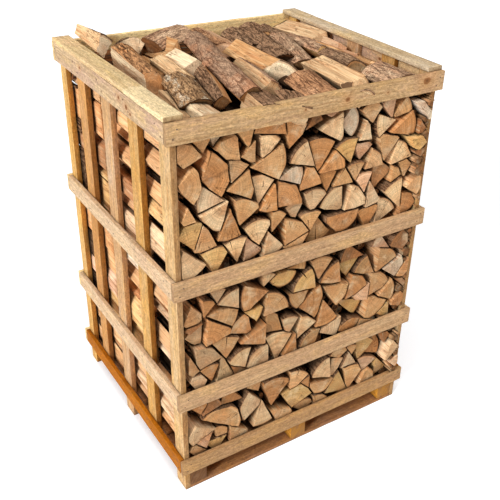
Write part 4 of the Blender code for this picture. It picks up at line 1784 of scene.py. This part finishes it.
# Near end's place, run to the far end, corners of the near end as (across, up), and bark sides.
HEAP = (
    LooseLog("pale_corner_log", (-44, 27, 160), (-4, 16, 3.6), ((-3.6, -0.2), (-1.1, -2.6),
             (4.1, 2.4), (-0.2, 5.5)), ((2, 0.15),), C, "rough_bark", spread=0.5,
             node="log_pale_corner", cut=(-0.05, 0.25), end_tone=G),
    LooseLog("half_round_cream_log", (-31.2, 31, 158.4), (-1, 9, -2), ((-6.3, 0.8), (0, -4),
             (6.2, 1.2)), ((2, 0.24),), W, "rough_bark", spread=0.6, cut=(-0.3, 0.9), end_light=1.2,
             rimmed=False),
    LooseLog("mossy_end_log", (-25, 27.5, 158.8), (17, 5, 2), ((-7.2, -0.2), (-0.2, -3.4),
             (7.4, 0.1), (-1.3, 3.4)), ((2, 0.12), (3, 0.14)), B, "pink_bark", cut=(0, -0.3),
             end_light=0.35, rimmed=False),
    LooseLog("ridge_end_log", (-20, 15, 157.2), (-1.5, 20, -1), ((-4.7, -1.3), (-3, -5), (4, -4),
             (3.0, 1.2), (1.9, 6.2)), (), T),
    LooseLog("cream_block_log", (-22, -6, 158), (-1, 17, 0), ((-5.5, 1.2), (-4, -4), (3, -4),
             (4.5, 1), (0.8, 3.9)), (), W, end_light=0.8),
    LooseLog("pale_yellow_log", (-29, -13, 157), (0.5, 22, 1), ((-5.5, 2), (-4, -4), (2.5, -4),
             (2.5, 1), (-0.5, 3.2)), (), C),
    LooseLog("shaded_tan_log", (-33, -4, 155), (0, 20, 1), ((-3.5, -3), (3, -3), (3.2, 1.5),
             (-0.5, 3.5), (-3, 2)), (), T),
    LooseLog("cracked_brown_log", (-40, -8, 158), (2.5, 34, 1), ((-3.5, -6), (2, -6), (3.4, -0.8),
             (2.8, 1.2), (-0.4, 2.6), (-3.5, 1.7)), ((3, 0.1), (4, 0.06)), W, "cracked_bark",
             spread=1.25, relief=0.005, node="log_cracked_brown", cut=(-0.1, 0.6), end_light=0.85,
             end_tone=O, rimmed=False),
    LooseLog("lichen_bark_log", (-38, -37, 157), (6.5, 29, -1), ((-6.3, 0.5), (0, -4), (6, 0.3)),
             ((2, 0.28),), C, "lichen_bark", node="log_lichen_bark", cut=(0, -0.9), end_light=0.8),
    LooseLog("edge_sliver_log", (-45.2, -42, 154.2), (4, 26, 0), ((-2.5, -3), (1.8, -3), (1.5, 2),
             (-1, 2.8)), (), C),
    LooseLog("cream_front_log", (-40, -50, 154.9), (1.2, 16, 0), ((-4.5, -3), (4, -3), (4.2, 3.4),
             (-2.5, 4.4)), (), W),
    LooseLog("ridged_orange_log", (-31.5, -39, 158), (7.5, 28, 1), ((-2, -1.5), (0, -5), (4.6, 0),
             (1, 3.2)), ((3, 0.12),), O, "rough_bark", cut=(-0.1, -0.5), end_light=0.55),
    LooseLog("purple_front_log", (-20, -41, 158), (5, 34, 0), ((-4.6, 1), (0, -4), (4, 1.5)),
             ((2, 0.42),), T, "smooth_bark", spread=1.25, cut=(0.1, -0.5), end_light=0.9,
             node="log_purple_front"),
    LooseLog("purple_back_log", (-15, -8, 157.5), (9, 36, 0), ((-5.2, 2), (0, -4), (5.2, 2)),
             ((2, 0.32),), T, "smooth_bark", node="log_purple_back"),
    LooseLog("dark_top_log", (-16.4, -51, 153.4), (0.5, 12, 0.8), ((-6.8, 6.8), (-6.9, -3), (3, -3),
             (3.6, 4.6)), ((3, 0.08),), C, "rough_bark", cut=(0, -0.3)),
    LooseLog("small_pale_log", (-5.2, -51, 150.8), (2.8, 9, 0.8), ((-8, 7.2), (-8, -2), (1, -2),
             (2.4, 5.2)), ((3, 0.08),), C, "rough_bark", cut=(0, -0.3)),
    LooseLog("curved_cream_log", (-11, -36, 157), (8, 36, -2.5), ((-5.2, -2.5), (4.9, -3.8),
             (1.6, 4.6)), ((1, 0.3),), C, "smooth_bark", cut=(0, 0.1), end_light=0.9),
    LooseLog("round_end_log", (5, -19, 157), (-1, 30, 0.5), ((-5.6, 0.4), (5.1, -6.1), (0.9, 4.5)),
             ((1, 0.33),), T, "oak", node="log_round_end", cut=(-0.75, 0.2), end_light=1.08,
             end_tone=W),
    LooseLog("reddish_slab_log", (6.5, -50, 154), (0, 19, 3), ((-7.5, 1.5), (0, -4), (8, 1)),
             ((2, 0.22),), P, "red_bark"),
    LooseLog("flat_pale_log", (18, -49, 157), (0, 27, 1), ((-5.4, 2.6), (-1, -5), (5.8, 0.5),
             (4.6, 4.4)), ((2, 0.15),), C, "pink_bark", node="log_flat_pale"),
    LooseLog("pink_bark_stub", (18.5, -52, 155.2), (1, 10, 1), ((-5, 1), (0, -4), (5.5, 1)),
             ((2, 0.25),), C, "pink_bark", cut=(0, -0.3)),
    LooseLog("grey_pink_log", (16.5, -19, 157), (9.5, 33, 0.5), ((-5.5, 1.5), (-3, -3), (2, -3),
             (5, 1.5)), ((3, 0.3),), T, "pink_bark", cut=(0, -0.6), end_light=0.7),
    LooseLog("dark_bark_log", (12, -11, 157), (7, 33, 0), ((-6, 1), (0, -5), (5.5, 1)),
             ((2, 0.42),), B, "rough_bark", relief=0.005, cut=(0, -0.9), end_light=0.6),
    LooseLog("striped_bark_log", (10, 9, 156.5), (5, 24, -0.5), ((-5, 2), (0, -4), (5.5, 1.5)),
             ((2, 0.3),), B, "rough_bark", relief=0.005, cut=(0, -0.9), end_light=0.6),
    LooseLog("rough_bark_log", (21, 14, 157), (4, 21, -1), ((-6, 1), (0, -5), (6, 1)), ((2, 0.38),),
             T, "rough_bark", relief=0.006, node="log_rough_bark"),
    LooseLog("right_bark_log", (30, 16, 155.5), (3, 20, -1), ((-5, 1), (0, -5), (5, 1)),
             ((2, 0.4),), T, "rough_bark", relief=0.005),
    LooseLog("red_brown_log", (2, 14, 157.5), (2, 29, -1.2), ((-5.6, 1.4), (-1.5, -3), (5, -2),
             (5.8, 1.2), (0.1, 3.2)), ((4, 0.08),), P, "red_bark"),
    LooseLog("inner_back_log", (3, 34, 152), (1, 13, 0), ((-5, -3), (5, -3), (4, 3), (-3, 3.5)), (),
             T),
    LooseLog("tan_round_log", (37.5, -12, 157), (-3, 24, 0), ((-3.3, 1), (-2.5, -3), (2, -3),
             (3.4, 0.8)), ((3, 0.35),), T, "pink_bark", end_light=0.35),
    LooseLog("olive_branch_log", (31, -10, 157), (-1.5, 22, 0), ((-1.3, 2), (1, -1), (4.8, 0.5),
             (4.4, 3), (1.6, 4.5)), ((3, 0.1), (4, 0.1)), Y, "pink_bark"),
    LooseLog("orange_end_log", (39, -18, 156), (-1, 18, 0), ((-5, 1.7), (0.8, -2.5), (2, 1),
             (-2.2, 4.3)), (), O),
    LooseLog("dark_curved_log", (35, -30, 157), (0, 20, 0), ((-6, 1.5), (0, -3.5), (3.4, 1)),
             ((2, 0.25),), T, "rough_bark", end_light=0.4),
    LooseLog("grey_front_log", (41, -50, 156), (0, 19, 0), ((-6.5, -1), (0, -5), (9, 0)),
             ((2, 0.26),), B, "pink_bark"),
    LooseLog("orange_corner_log", (46, 12, 156.5), (-3, 26, 0), ((-4.5, 0.5), (-2, -4), (4.5, -3),
             (4.8, 3.2)), (), C),
    LooseLog("pink_wall_log", (46, -10, 154), (0, 20, 0), ((-4, -3), (4.5, -3), (4, 2), (-3, 2.5)),
             (), P),
    LooseLog("right_wall_log", (48, -30, 153), (0, 26, 0), ((-3, -3), (4, -3), (3.5, 2),
             (-2.5, 2.5)), (), T),
    LooseLog("small_yellow_end", (34.5, -3.5, 155.5), (1, 15, 0), ((-3, 0), (0, -3), (3.5, 0.5),
             (0.5, 3)), ((2, 0.2),), Y, end_light=1.25),
    LooseLog("small_tan_end", (40, -14, 155.5), (0, 14, 0), ((-3.5, 0), (-1, -3.5), (3.5, 0.5)),
             ((2, 0.3),), C, end_light=1.1),
    LooseLog("small_pink_end", (46.5, -3, 156), (0, 12, 0), ((-3, -2), (2.5, -2.5), (3, 1),
             (-0.5, 3)), (), P, end_light=1.1),
    # Two dark logs across the back: painted shade in the gap behind the heap.
    *(LooseLog(name, (x, 41.5, 150.3), (51, 0, 0), ((-4.4, -3), (-2, -4.2), (3, -4), (4.4, 0),
               (2.6, 4.2), (-3.4, 3.6)), (), D)
      for name, x in (("cross_log_left", -52.5), ("cross_log_right", 1))),
    LooseLog("left_wall_log", (-48, -12, 150), (1, 28, 0), ((-3, -3), (3.5, -3), (3, 1.5), (-2, 2)),
             (), O),
)


# ---- geometry node trees ----
class NodeTree(Nodes):
    """A Geometry Nodes tree with named inputs."""

    def __init__(self, name: str, inputs: dict[str, float | str]) -> None:
        """Start a tree.

        Args:
            name: The tree's name.
            inputs: The usual value of each number, or the type of another input, by name.
        """
        self.tree = bpy.data.node_groups.new(name, "GeometryNodeTree")
        new_socket = self.tree.interface.new_socket
        for label, usual in {"Geometry": "Geometry", **inputs}.items():
            kind = usual if isinstance(usual, str) else "Float"
            socket = new_socket(label, in_out="INPUT", socket_type=f"NodeSocket{kind}")
            if kind == "Float":
                socket.default_value = usual
        new_socket("Geometry", in_out="OUTPUT", socket_type="NodeSocketGeometry")
        outputs = self.tree.nodes.new("NodeGroupInput").outputs
        self.given = {label: Value(self, outputs[label]) for label in ("Geometry", *inputs)}
        self.output = self.tree.nodes.new("NodeGroupOutput").inputs[0]

    def store(self, geometry: Value, name: str, value: Value, kind: str = "FLOAT_VECTOR",
              domain: str = "POINT") -> Value:
        """Store a value on a mesh as a named attribute."""
        sockets = {"Geometry": geometry, "Name": name, "Value": value}
        return self.node("GeometryNodeStoreNamedAttribute", sockets, data_type=kind, domain=domain)

    def end(self, geometry: Value, *finishes: tuple[Value, object]) -> None:
        """Realize the instances, set the materials and hand the mesh over.

        Args:
            geometry: The mesh or its instances.
            finishes: Each material, and which faces get it.
        """
        mesh = self.node("GeometryNodeRealizeInstances", {0: geometry})
        for material, faces in finishes:
            mesh = self.node("GeometryNodeSetMaterial", {
                "Geometry": mesh, "Selection": faces, "Material": material})
        self.put(self.output, mesh)

    def run(self, name: str, values: dict[str, object], source: bpy.types.Mesh | None = None,
            finishing: Sequence[tuple[str, dict[str, object]]] = ()) -> Piece:
        """Evaluate the tree into a plain mesh object.

        Args:
            name: The new piece's name.
            values: Values for the tree's inputs, by name.
            source: The mesh that the tree starts from, if it needs one.
            finishing: Further modifiers, as a type and its settings.

        Returns:
            The piece, with no modifier left on it.
        """
        holder = bpy.data.objects.new(name, source or bpy.data.meshes.new(name))
        bpy.context.scene.collection.objects.link(holder)
        modifier = holder.modifiers.new("shape", "NODES")
        modifier.node_group = self.tree
        for item in self.tree.interface.items_tree:
            if item.in_out == "INPUT" and item.name in values:
                modifier[item.identifier] = values[item.name]
        for kind, settings in finishing:
            extra = holder.modifiers.new(kind.lower(), kind)
            for label, value in settings.items():
                setattr(extra, label, value)
        bpy.context.view_layer.update()
        graph = bpy.context.evaluated_depsgraph_get()
        made = bpy.data.meshes.new_from_object(holder.evaluated_get(graph), depsgraph=graph)
        holder.modifiers.clear()
        holder.data = made
        made.name = name
        return holder


def sawn_board_tree() -> NodeTree:
    """Make the tree of one sawn board: a gently bowed plank with uneven edges, set in its place.

    Returns:
        The tree.
    """
    tree = NodeTree("sawn_board", {
        "Length": 1.0, "Width": 0.08, "Thickness": 0.02, "Seed": 0.0, "Wander": 0.0015,
        "Wane Depth": 0.0, "Wane Middle": 0.0, "Wane Length": 0.1, "Place": "Vector",
        "Turn": "Vector", "Side": "Material", "End": "Material"})
    given = tree.given
    length, width, thickness = given["Length"], given["Width"], given["Thickness"]
    cube = tree.node("GeometryNodeMeshCube", {
        "Size": tree.pack(length, width, thickness), "Vertices X": (length * 26.0).ceiling() + 2.0,
        "Vertices Y": 6, "Vertices Z": 3})
    place = tree.node("GeometryNodeInputPosition")
    along, across, up = place.parts()
    grain = place + tree.node("ShaderNodeVectorMath", {0: (7.31, 3.17, 1.93), "Scale": given["Seed"]},
                              operation="SCALE")
    slow, quick = (
        tree.node("ShaderNodeTexNoise", {"Vector": grain * stretch, "Scale": 1.0, "Detail": detail},
                  "Color") - (0.5, 0.5, 0.5)
        for stretch, detail in (((2.1, 0.4, 0.4), 1.0), ((17, 30, 30), 2.0)))
    moved = (slow * (0.0, 4.0, 1.6) + quick * (1.2, 1.2, 0.8)) * given["Wander"]
    inside = abs(along - given["Wane Middle"]).ease(given["Wane Length"], 0.0)
    corner = (across > width * 0.45) * (up > thickness * 0.3)
    drop = inside * corner * given["Wane Depth"]
    wane = tree.pack(0.0, drop * -1.0, drop * -0.5)
    facing, _, _ = tree.node("GeometryNodeInputNormal").parts()
    kept = tree.store(tree.store(cube, "grain", grain), "board", place)
    marked = tree.store(kept, "sawn_end", abs(facing) > 0.8, "FLOAT", "FACE")
    shaped = tree.node("GeometryNodeSetPosition", {"Geometry": marked, "Offset": moved + wane})
    placed = tree.node("GeometryNodeTransform", {
        "Geometry": shaped, "Translation": given["Place"],
        "Rotation": tree.node("FunctionNodeEulerToRotation", {0: given["Turn"]})})
    sawn_end = tree.node("GeometryNodeInputNamedAttribute", {"Name": "sawn_end"}, "Attribute",
                         data_type="FLOAT")
    tree.end(placed, (given["Side"], True), (given["End"], sawn_end > 0.5))
    return tree


def nail_tree() -> NodeTree:
    """Make the tree of the nail heads: one domed head at each point, facing along its attribute.

    Returns:
        The tree.
    """
    tree = NodeTree("nail_heads", {"Radius": 0.0035, "Height": 0.0012, "Steel": "Material"})
    given = tree.given
    head = tree.node("GeometryNodeMeshCone", {
        "Vertices": 10, "Side Segments": 2, "Radius Top": given["Radius"] * 0.7,
        "Radius Bottom": given["Radius"], "Depth": given["Height"]})
    facing = tree.node("GeometryNodeInputNamedAttribute", {"Name": "facing"}, "Attribute",
                       data_type="FLOAT_VECTOR")
    heads = tree.node("GeometryNodeInstanceOnPoints", {
        "Points": tree.node("GeometryNodeMeshToPoints", {"Mesh": given["Geometry"]}), "Instance": head,
        "Rotation": tree.node("FunctionNodeAlignRotationToVector", {"Vector": facing}, axis="Z")})
    tree.end(heads, (given["Steel"], True))
    return tree


# ---- the crate ----
class Side(Enum):
    """Outward direction of a face of the crate."""

    LEFT = (-1, 0, 0)
    RIGHT = (1, 0, 0)
    FRONT = (0, -1, 0)
    BACK = (0, 1, 0)
    TOP = (0, 0, 1)


@dataclass
class Wane:
    """A missing edge where the board ran out of the log.

    Attributes:
        depth: How deep it cuts, in metres.
        middle: Its place along the board, from the board's middle.
        length: Half of its length.
    """

    depth: float = 0.0
    middle: float = 0.0
    length: float = 0.1


@dataclass
class Carpentry:
    """Makes boards where the frame's plain boards are.

    Attributes:
        wood: The made finishes.
        tree: The sawn board's node tree.
        pieces: The boards made so far.
    """

    wood: Wood
    tree: NodeTree = field(default_factory=sawn_board_tree)
    pieces: list[Piece] = field(default_factory=list)

    BEVEL = {"width": 0.0018, "segments": 2, "limit_method": "ANGLE",
             "angle_limit": math.radians(50), "profile": 0.6}
    SHRINK, SMOOTH_BELOW = 0.0006, math.radians(30)

    def board(self, node: str, along: Place, side: Side, finish: str, slot: str, width: float = 0.0,
              thick: float = 0.0, wander: float = 0.0013, wane: Wane = Wane(),
              short: float = 0.0) -> None:
        """Make one board in place of a CAD board.

        Args:
            node: The CAD board.
            along: Direction of its grain.
            side: The way its outer face looks.
            finish: Name of its finish.
            slot: Not used.
            width: Its width, if it leans and its box is wider.
            thick: Its thickness, if it leans and its box is thicker.
            wander: How far it strays from straight, in metres.
            wane: A missing edge.
            short: How much shorter than the frame's board it was sawn, in metres.
        """
        low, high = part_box(node)
        size = high - low
        along, out = Vector(along), Vector(side.value)
        across = out.cross(along)
        length, full_width, full_thick = (abs(size.dot(axis)) for axis in (along, across, out))
        lean = 0.0
        if width:
            lean = math.atan((full_width - width) / length)
        if thick:
            lean = math.atan((full_thick - thick) / full_width)
        turn = (Matrix.Rotation(lean, 3, "X") @ Matrix((along, across, out)).transposed()).to_euler()
        long_faces, ends = self.wood.boards[finish]
        piece = self.tree.run(f"{node}_board", {
            "Length": length - short, "Width": (width or full_width) - self.SHRINK,
            "Thickness": (thick or full_thick) - self.SHRINK,
            "Seed": float(len(self.pieces) + 1), "Wander": wander,
            "Wane Depth": wane.depth, "Wane Middle": wane.middle, "Wane Length": wane.length,
            "Place": tuple((low + high) / 2), "Turn": tuple(turn), "Side": long_faces, "End": ends},
            finishing=(("BEVEL", self.BEVEL),))
        piece.data.shade_smooth()
        piece.data.set_sharp_from_angle(angle=self.SMOOTH_BELOW)
        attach(piece, BODY)
        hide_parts(node)
        self.pieces.append(piece)


@dataclass
class Pallet:
    """Runners, blocks, stringers and deck boards."""

    carpentry: Carpentry
    deck_boards: int = 5
    rough: float = 0.0022

    ROWS, COLUMNS = ("front", "middle", "back"), ("left", "middle", "right")

    def build(self) -> None:
        """Make every board of the pallet."""
        for row in self.ROWS:
            self.make(f"runner_{row}", X_AXIS, Side.FRONT)
            for column in self.COLUMNS:
                self.make(f"block_{row}_{column}", Y_AXIS, Side.TOP,
                          "dark_block" if column == "left" else "yellow_block")
        for column in self.COLUMNS:
            self.make(f"stringer_{column}", Y_AXIS, Side.TOP)
        for index in range(self.deck_boards):
            self.make(f"deck_board_{index + 1}", X_AXIS, Side.TOP)

    def make(self, node: str, along: Place, side: Side, finish: str = "pallet_wood") -> None:
        """Make one board of the pallet."""
        self.carpentry.board(node, along, side, finish, "pallet_wood", wander=self.rough)


@dataclass
class CrateSide:
    """One side of the crate: slats inside four rails, and a cap.

    Attributes:
        carpentry: What makes the boards.
        name: left or right.
        side: The side's outward direction.
        slat_width: Width of the slats.
        back_slat_width: Width of the last one.
    """

    carpentry: Carpentry
    name: str
    side: Side
    slat_width: float = 0.080
    back_slat_width: float = 0.062

    SLATS = {"front_corner": "corner_post", "front_slat": "orange_slat", "middle_slat": "pink_slat",
             "back_slat": "tan_slat", "back_corner": "back_post"}
    RAILS = {"base": ("orange_rail", "orange_rail_wood"), "lower": ("side_rail", "cream_rail_wood"),
             "upper": ("side_rail", "cream_rail_wood"), "rim": ("side_rim_rail", "rim_wood")}

    def width_of(self, slat: str) -> float:
        """The width of a slat."""
        return self.back_slat_width if slat == "back_corner" else self.slat_width

    def build(self) -> None:
        """Make the side's boards."""
        for slat, finish in self.SLATS.items():
            self.carpentry.board(f"{self.name}_{slat}", Z_AXIS, self.side, finish, "slat_wood",
                                 width=self.width_of(slat), wander=0.0018)
        for level, (finish, slot) in self.RAILS.items():
            self.carpentry.board(f"{self.name}_rail_{level}", Y_AXIS, self.side, finish, slot,
                                 wander=0.0018, short=0.006)
        for node in (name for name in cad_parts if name.startswith(f"cap_{self.name}")):
            finish = "cap_wood" if node == "cap_left" else "grey_cap_wood"
            self.carpentry.board(node, Y_AXIS, Side.TOP, finish, "rim_wood")


@dataclass
class CrateEnds:
    """The rails across the front and the leaning back."""

    carpentry: Carpentry
    rail_thick: float = 0.018

    FINISHES = {"base": "front_base_rail", "rim": "front_rim_rail"}

    def build(self) -> None:
        """Make the eight rails."""
        for level in LEVELS:
            slot = "rim_wood" if level == "rim" else "cream_rail_wood"
            wane = Wane(0.014, 0.475, 0.100) if level == "rim" else Wane()
            self.carpentry.board(f"front_rail_{level}", X_AXIS, Side.FRONT,
                                 self.FINISHES.get(level, "front_rail"), slot, wander=0.0018, wane=wane)
            self.carpentry.board(f"back_rail_{level}", X_AXIS, Side.BACK, "back_rail", slot,
                                 thick=self.rail_thick, wander=0.0018)


@dataclass
class Nails:
    """Nail heads where the rails cross the slats."""

    crate_sides: Sequence[CrateSide]
    spots: list[tuple[Vector, Vector]] = field(default_factory=list)

    SPREAD, PROUD, FROM_END, RADIUS, HEIGHT = 0.019, 0.0002, 0.030, 0.0027, 0.0010

    def add_pair(self, middle: Vector, across: Vector, out: Vector) -> None:
        """Add two heads on a diagonal round a crossing.

        Args:
            middle: Where the middles of the rail and the slat cross.
            across: Unit vector along the rail.
            out: Unit vector out of the crate.
        """
        for sign in (-1, 1):
            place = middle + sign * self.SPREAD * (across + Vector(Z_AXIS) * 0.8)
            self.spots.append((place + out * self.PROUD, out))

    def gather(self) -> None:
        """Find every crossing from the frame's boxes."""
        for part in self.crate_sides:
            out = Vector(part.side.value)
            for level in LEVELS:
                rail_low, rail_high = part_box(f"{part.name}_rail_{level}")
                height = (rail_low.z + rail_high.z) / 2
                face = rail_high.x if out.x > 0 else rail_low.x
                for slat in part.SLATS:
                    low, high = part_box(f"{part.name}_{slat}")
                    width = part.width_of(slat)
                    slope = (high.y - low.y - width) / (high.z - low.z)
                    y = high.y - width / 2 - (height - low.z) * slope
                    self.add_pair(Vector((face, y, height)), Vector(Y_AXIS), out)
        for level in LEVELS:
            low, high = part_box(f"front_rail_{level}")
            for x in (low.x + self.FROM_END, high.x - self.FROM_END):
                self.add_pair(Vector((x, low.y, (low.z + high.z) / 2)), Vector(X_AXIS) * 0.4,
                              Vector(Side.FRONT.value))

    def build(self) -> Piece:
        """Make all the heads as one piece.

        Returns:
            The nail heads.
        """
        self.gather()
        sheet = ShaderSheet("nail_steel", roughness=0.5, specular=0.4)
        rust = sheet.node("ShaderNodeTexCoord", output="Object").noise(300, detail=2).ease(0.4, 0.6)
        sheet.set({"Metallic": 0.6})
        steel = sheet.finish(sheet.mix(rust, tint(92, 84, 78), tint(104, 66, 40)), rust, depth=0.0003)
        points = bpy.data.meshes.new("nail_points")
        points.from_pydata([tuple(place) for place, _ in self.spots], [], [])
        facing = points.attributes.new("facing", "FLOAT_VECTOR", "POINT")
        facing.data.foreach_set("vector", [value for _, out in self.spots for value in out])
        sizes = {"Radius": self.RADIUS, "Height": self.HEIGHT, "Steel": steel}
        piece = nail_tree().run("nail_heads", sizes, source=points)
        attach(piece, BODY)
        return piece


# ---- the firewood ----
@dataclass
class Firewood:
    """Three stacked rows and the loose logs on top."""

    wood: Wood

    HEAP_SEED = 100

    def build(self) -> None:
        """Make the rows and the heap."""
        front = LogRow("log_row_front", seed=5, top=1.546, steps=0, swell_step=0.0038,
                       seams=(0.0034, 0.0082), hollow=0.0, sticks=(0.035, 0.09), bare_wall=0.030,
                       at_front=True)
        front.lay_by_hand(FRONT_LOGS)
        middle = LogRow("log_row_middle", seed=21, top=1.508, steps=150)
        middle.drop()
        back = LogRow("log_row_back", seed=34, top=1.508, steps=240, ragged=0.020,
                      sticks=(0.225, 0.235), open_behind=True, wall_cut=(0.0, 0.004),
                      lean=math.radians(1.8), stick_size=1.3)
        back.drop()
        for row in (front, middle, back):
            piece = row.build("oak", self.wood)
            self.settle_in(piece, row.node)
            LOG.info("%s: %d logs, %d faces", piece.name, len(row.logs), len(piece.data.polygons))
        for index, log in enumerate(HEAP):
            piece = log.build(self.HEAP_SEED + index, self.wood)
            self.settle_in(piece, log.node)
        LOG.info("heap: %d loose logs", len(HEAP))

    def settle_in(self, piece: Piece, node: str) -> None:
        """Tell the frame what a piece rides on, and hide the CAD solid that it stands for.

        Args:
            piece: The piece.
            node: The CAD solid that it stands for, if there is one.
        """
        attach(piece, BODY)
        if node:
            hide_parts(node)


# ---- the studio ----
@dataclass
class Studio:
    """Pale floor, soft light and the camera. The camera's directions are unit vectors.

    Attributes:
        place: Where the camera stands.
        right: Its own right.
        ahead: The way it looks.
        lens: Its focal length, in millimetres.
        shift: How far its picture is shifted, as shares of the width.
        floor_size: Width of the floor, in metres.
        floor_glow: Light that the floor gives off.
        sky: Colour and strength of the sky.
        sun_colour: Colour of the suns.
        suns: Each sun's name, direction, strength and width in degrees.
    """

    place: Place = (-1.47213, -2.46646, 2.43364)
    right: Place = (0.82851, -0.55867, 0.03821)
    ahead: Place = (0.49450, 0.69791, -0.51807)
    lens: float = 53.92
    shift: tuple[float, float] = (-0.08, 0.012)
    floor_size: float = 80.0
    floor_glow: float = 0.26
    sky: tuple[Colour, float] = ((1.0, 0.90, 0.76), 0.23)
    sun_colour: Colour = (0.955, 0.98, 1.0)
    suns: tuple[tuple[str, Place, float, float], ...] = (
        ("key", (1.0, 0.40, -0.48), 2.72, 12), ("top", (0.10, 0.32, -1.0), 2.0, 30))

    def add(self, name: str, data: bpy.types.ID) -> Piece:
        """Put an object into the scene.

        Args:
            name: The object's name.
            data: Its mesh, light or camera.

        Returns:
            The object.
        """
        obj = bpy.data.objects.new(name, data)
        bpy.context.scene.collection.objects.link(obj)
        return obj

    def camera(self) -> None:
        """Put the camera at the crate's left front corner, looking down."""
        data = bpy.data.cameras.new("camera")
        data.lens, data.sensor_width, data.clip_end = self.lens, 36.0, 200.0
        data.shift_x, data.shift_y = self.shift
        right, back = Vector(self.right).normalized(), -Vector(self.ahead).normalized()
        turn = Matrix((right, back.cross(right).normalized(), back)).transposed().to_4x4()
        camera = self.add("camera", data)
        camera.matrix_world = Matrix.Translation(self.place) @ turn
        bpy.context.scene.camera = camera

    def floor(self) -> None:
        """Lay the pale floor."""
        mesh = bpy.data.meshes.new("floor")
        half = self.floor_size / 2
        corners = ((-half, -half, 0), (half, -half, 0), (half, half, 0), (-half, half, 0))
        mesh.from_pydata(corners, [], [(0, 1, 2, 3)])
        sheet = ShaderSheet("pale_floor", roughness=0.9, specular=0.1)
        sheet.set({"Emission Color": (1.0, 1.0, 1.0), "Emission Strength": self.floor_glow})
        mesh.materials.append(sheet.finish(tint(247, 250, 255)))
        self.add("floor", mesh)

    def lights(self) -> None:
        """A pale sky, a soft key from the left and a weak fill from above."""
        world = bpy.data.worlds.new("white sky")
        world.use_nodes = True
        sky = world.node_tree.nodes["Background"].inputs
        colour, sky["Strength"].default_value = self.sky
        sky["Color"].default_value = (*colour, 1.0)
        bpy.context.scene.world = world
        for name, aim, power, spread in self.suns:
            data = bpy.data.lights.new(name, "SUN")
            data.energy, data.angle, data.color = power, math.radians(spread), self.sun_colour
            self.add(name, data).rotation_euler = Vector(aim).to_track_quat("-Z", "Y").to_euler()

    def build(self) -> None:
        """Set the camera, the floor, the lights and the plain view."""
        self.camera()
        self.floor()
        self.lights()
        bpy.context.scene.view_settings.view_transform = "Standard"


def main() -> None:
    """Build the studio, the crate and the firewood."""
    logging.basicConfig(level=logging.INFO, format="%(name)s: %(message)s")
    Studio().build()
    wood = Wood()
    carpentry = Carpentry(wood)
    Pallet(carpentry).build()
    sides = (CrateSide(carpentry, "left", Side.LEFT), CrateSide(carpentry, "right", Side.RIGHT))
    for side in sides:
        side.build()
    CrateEnds(carpentry).build()
    LOG.info("crate: %d boards", len(carpentry.pieces))
    nails = Nails(sides)
    LOG.info("%s: %d heads", nails.build().name, len(nails.spots))
    Firewood(wood).build()


if __name__ == "__main__":
    main()
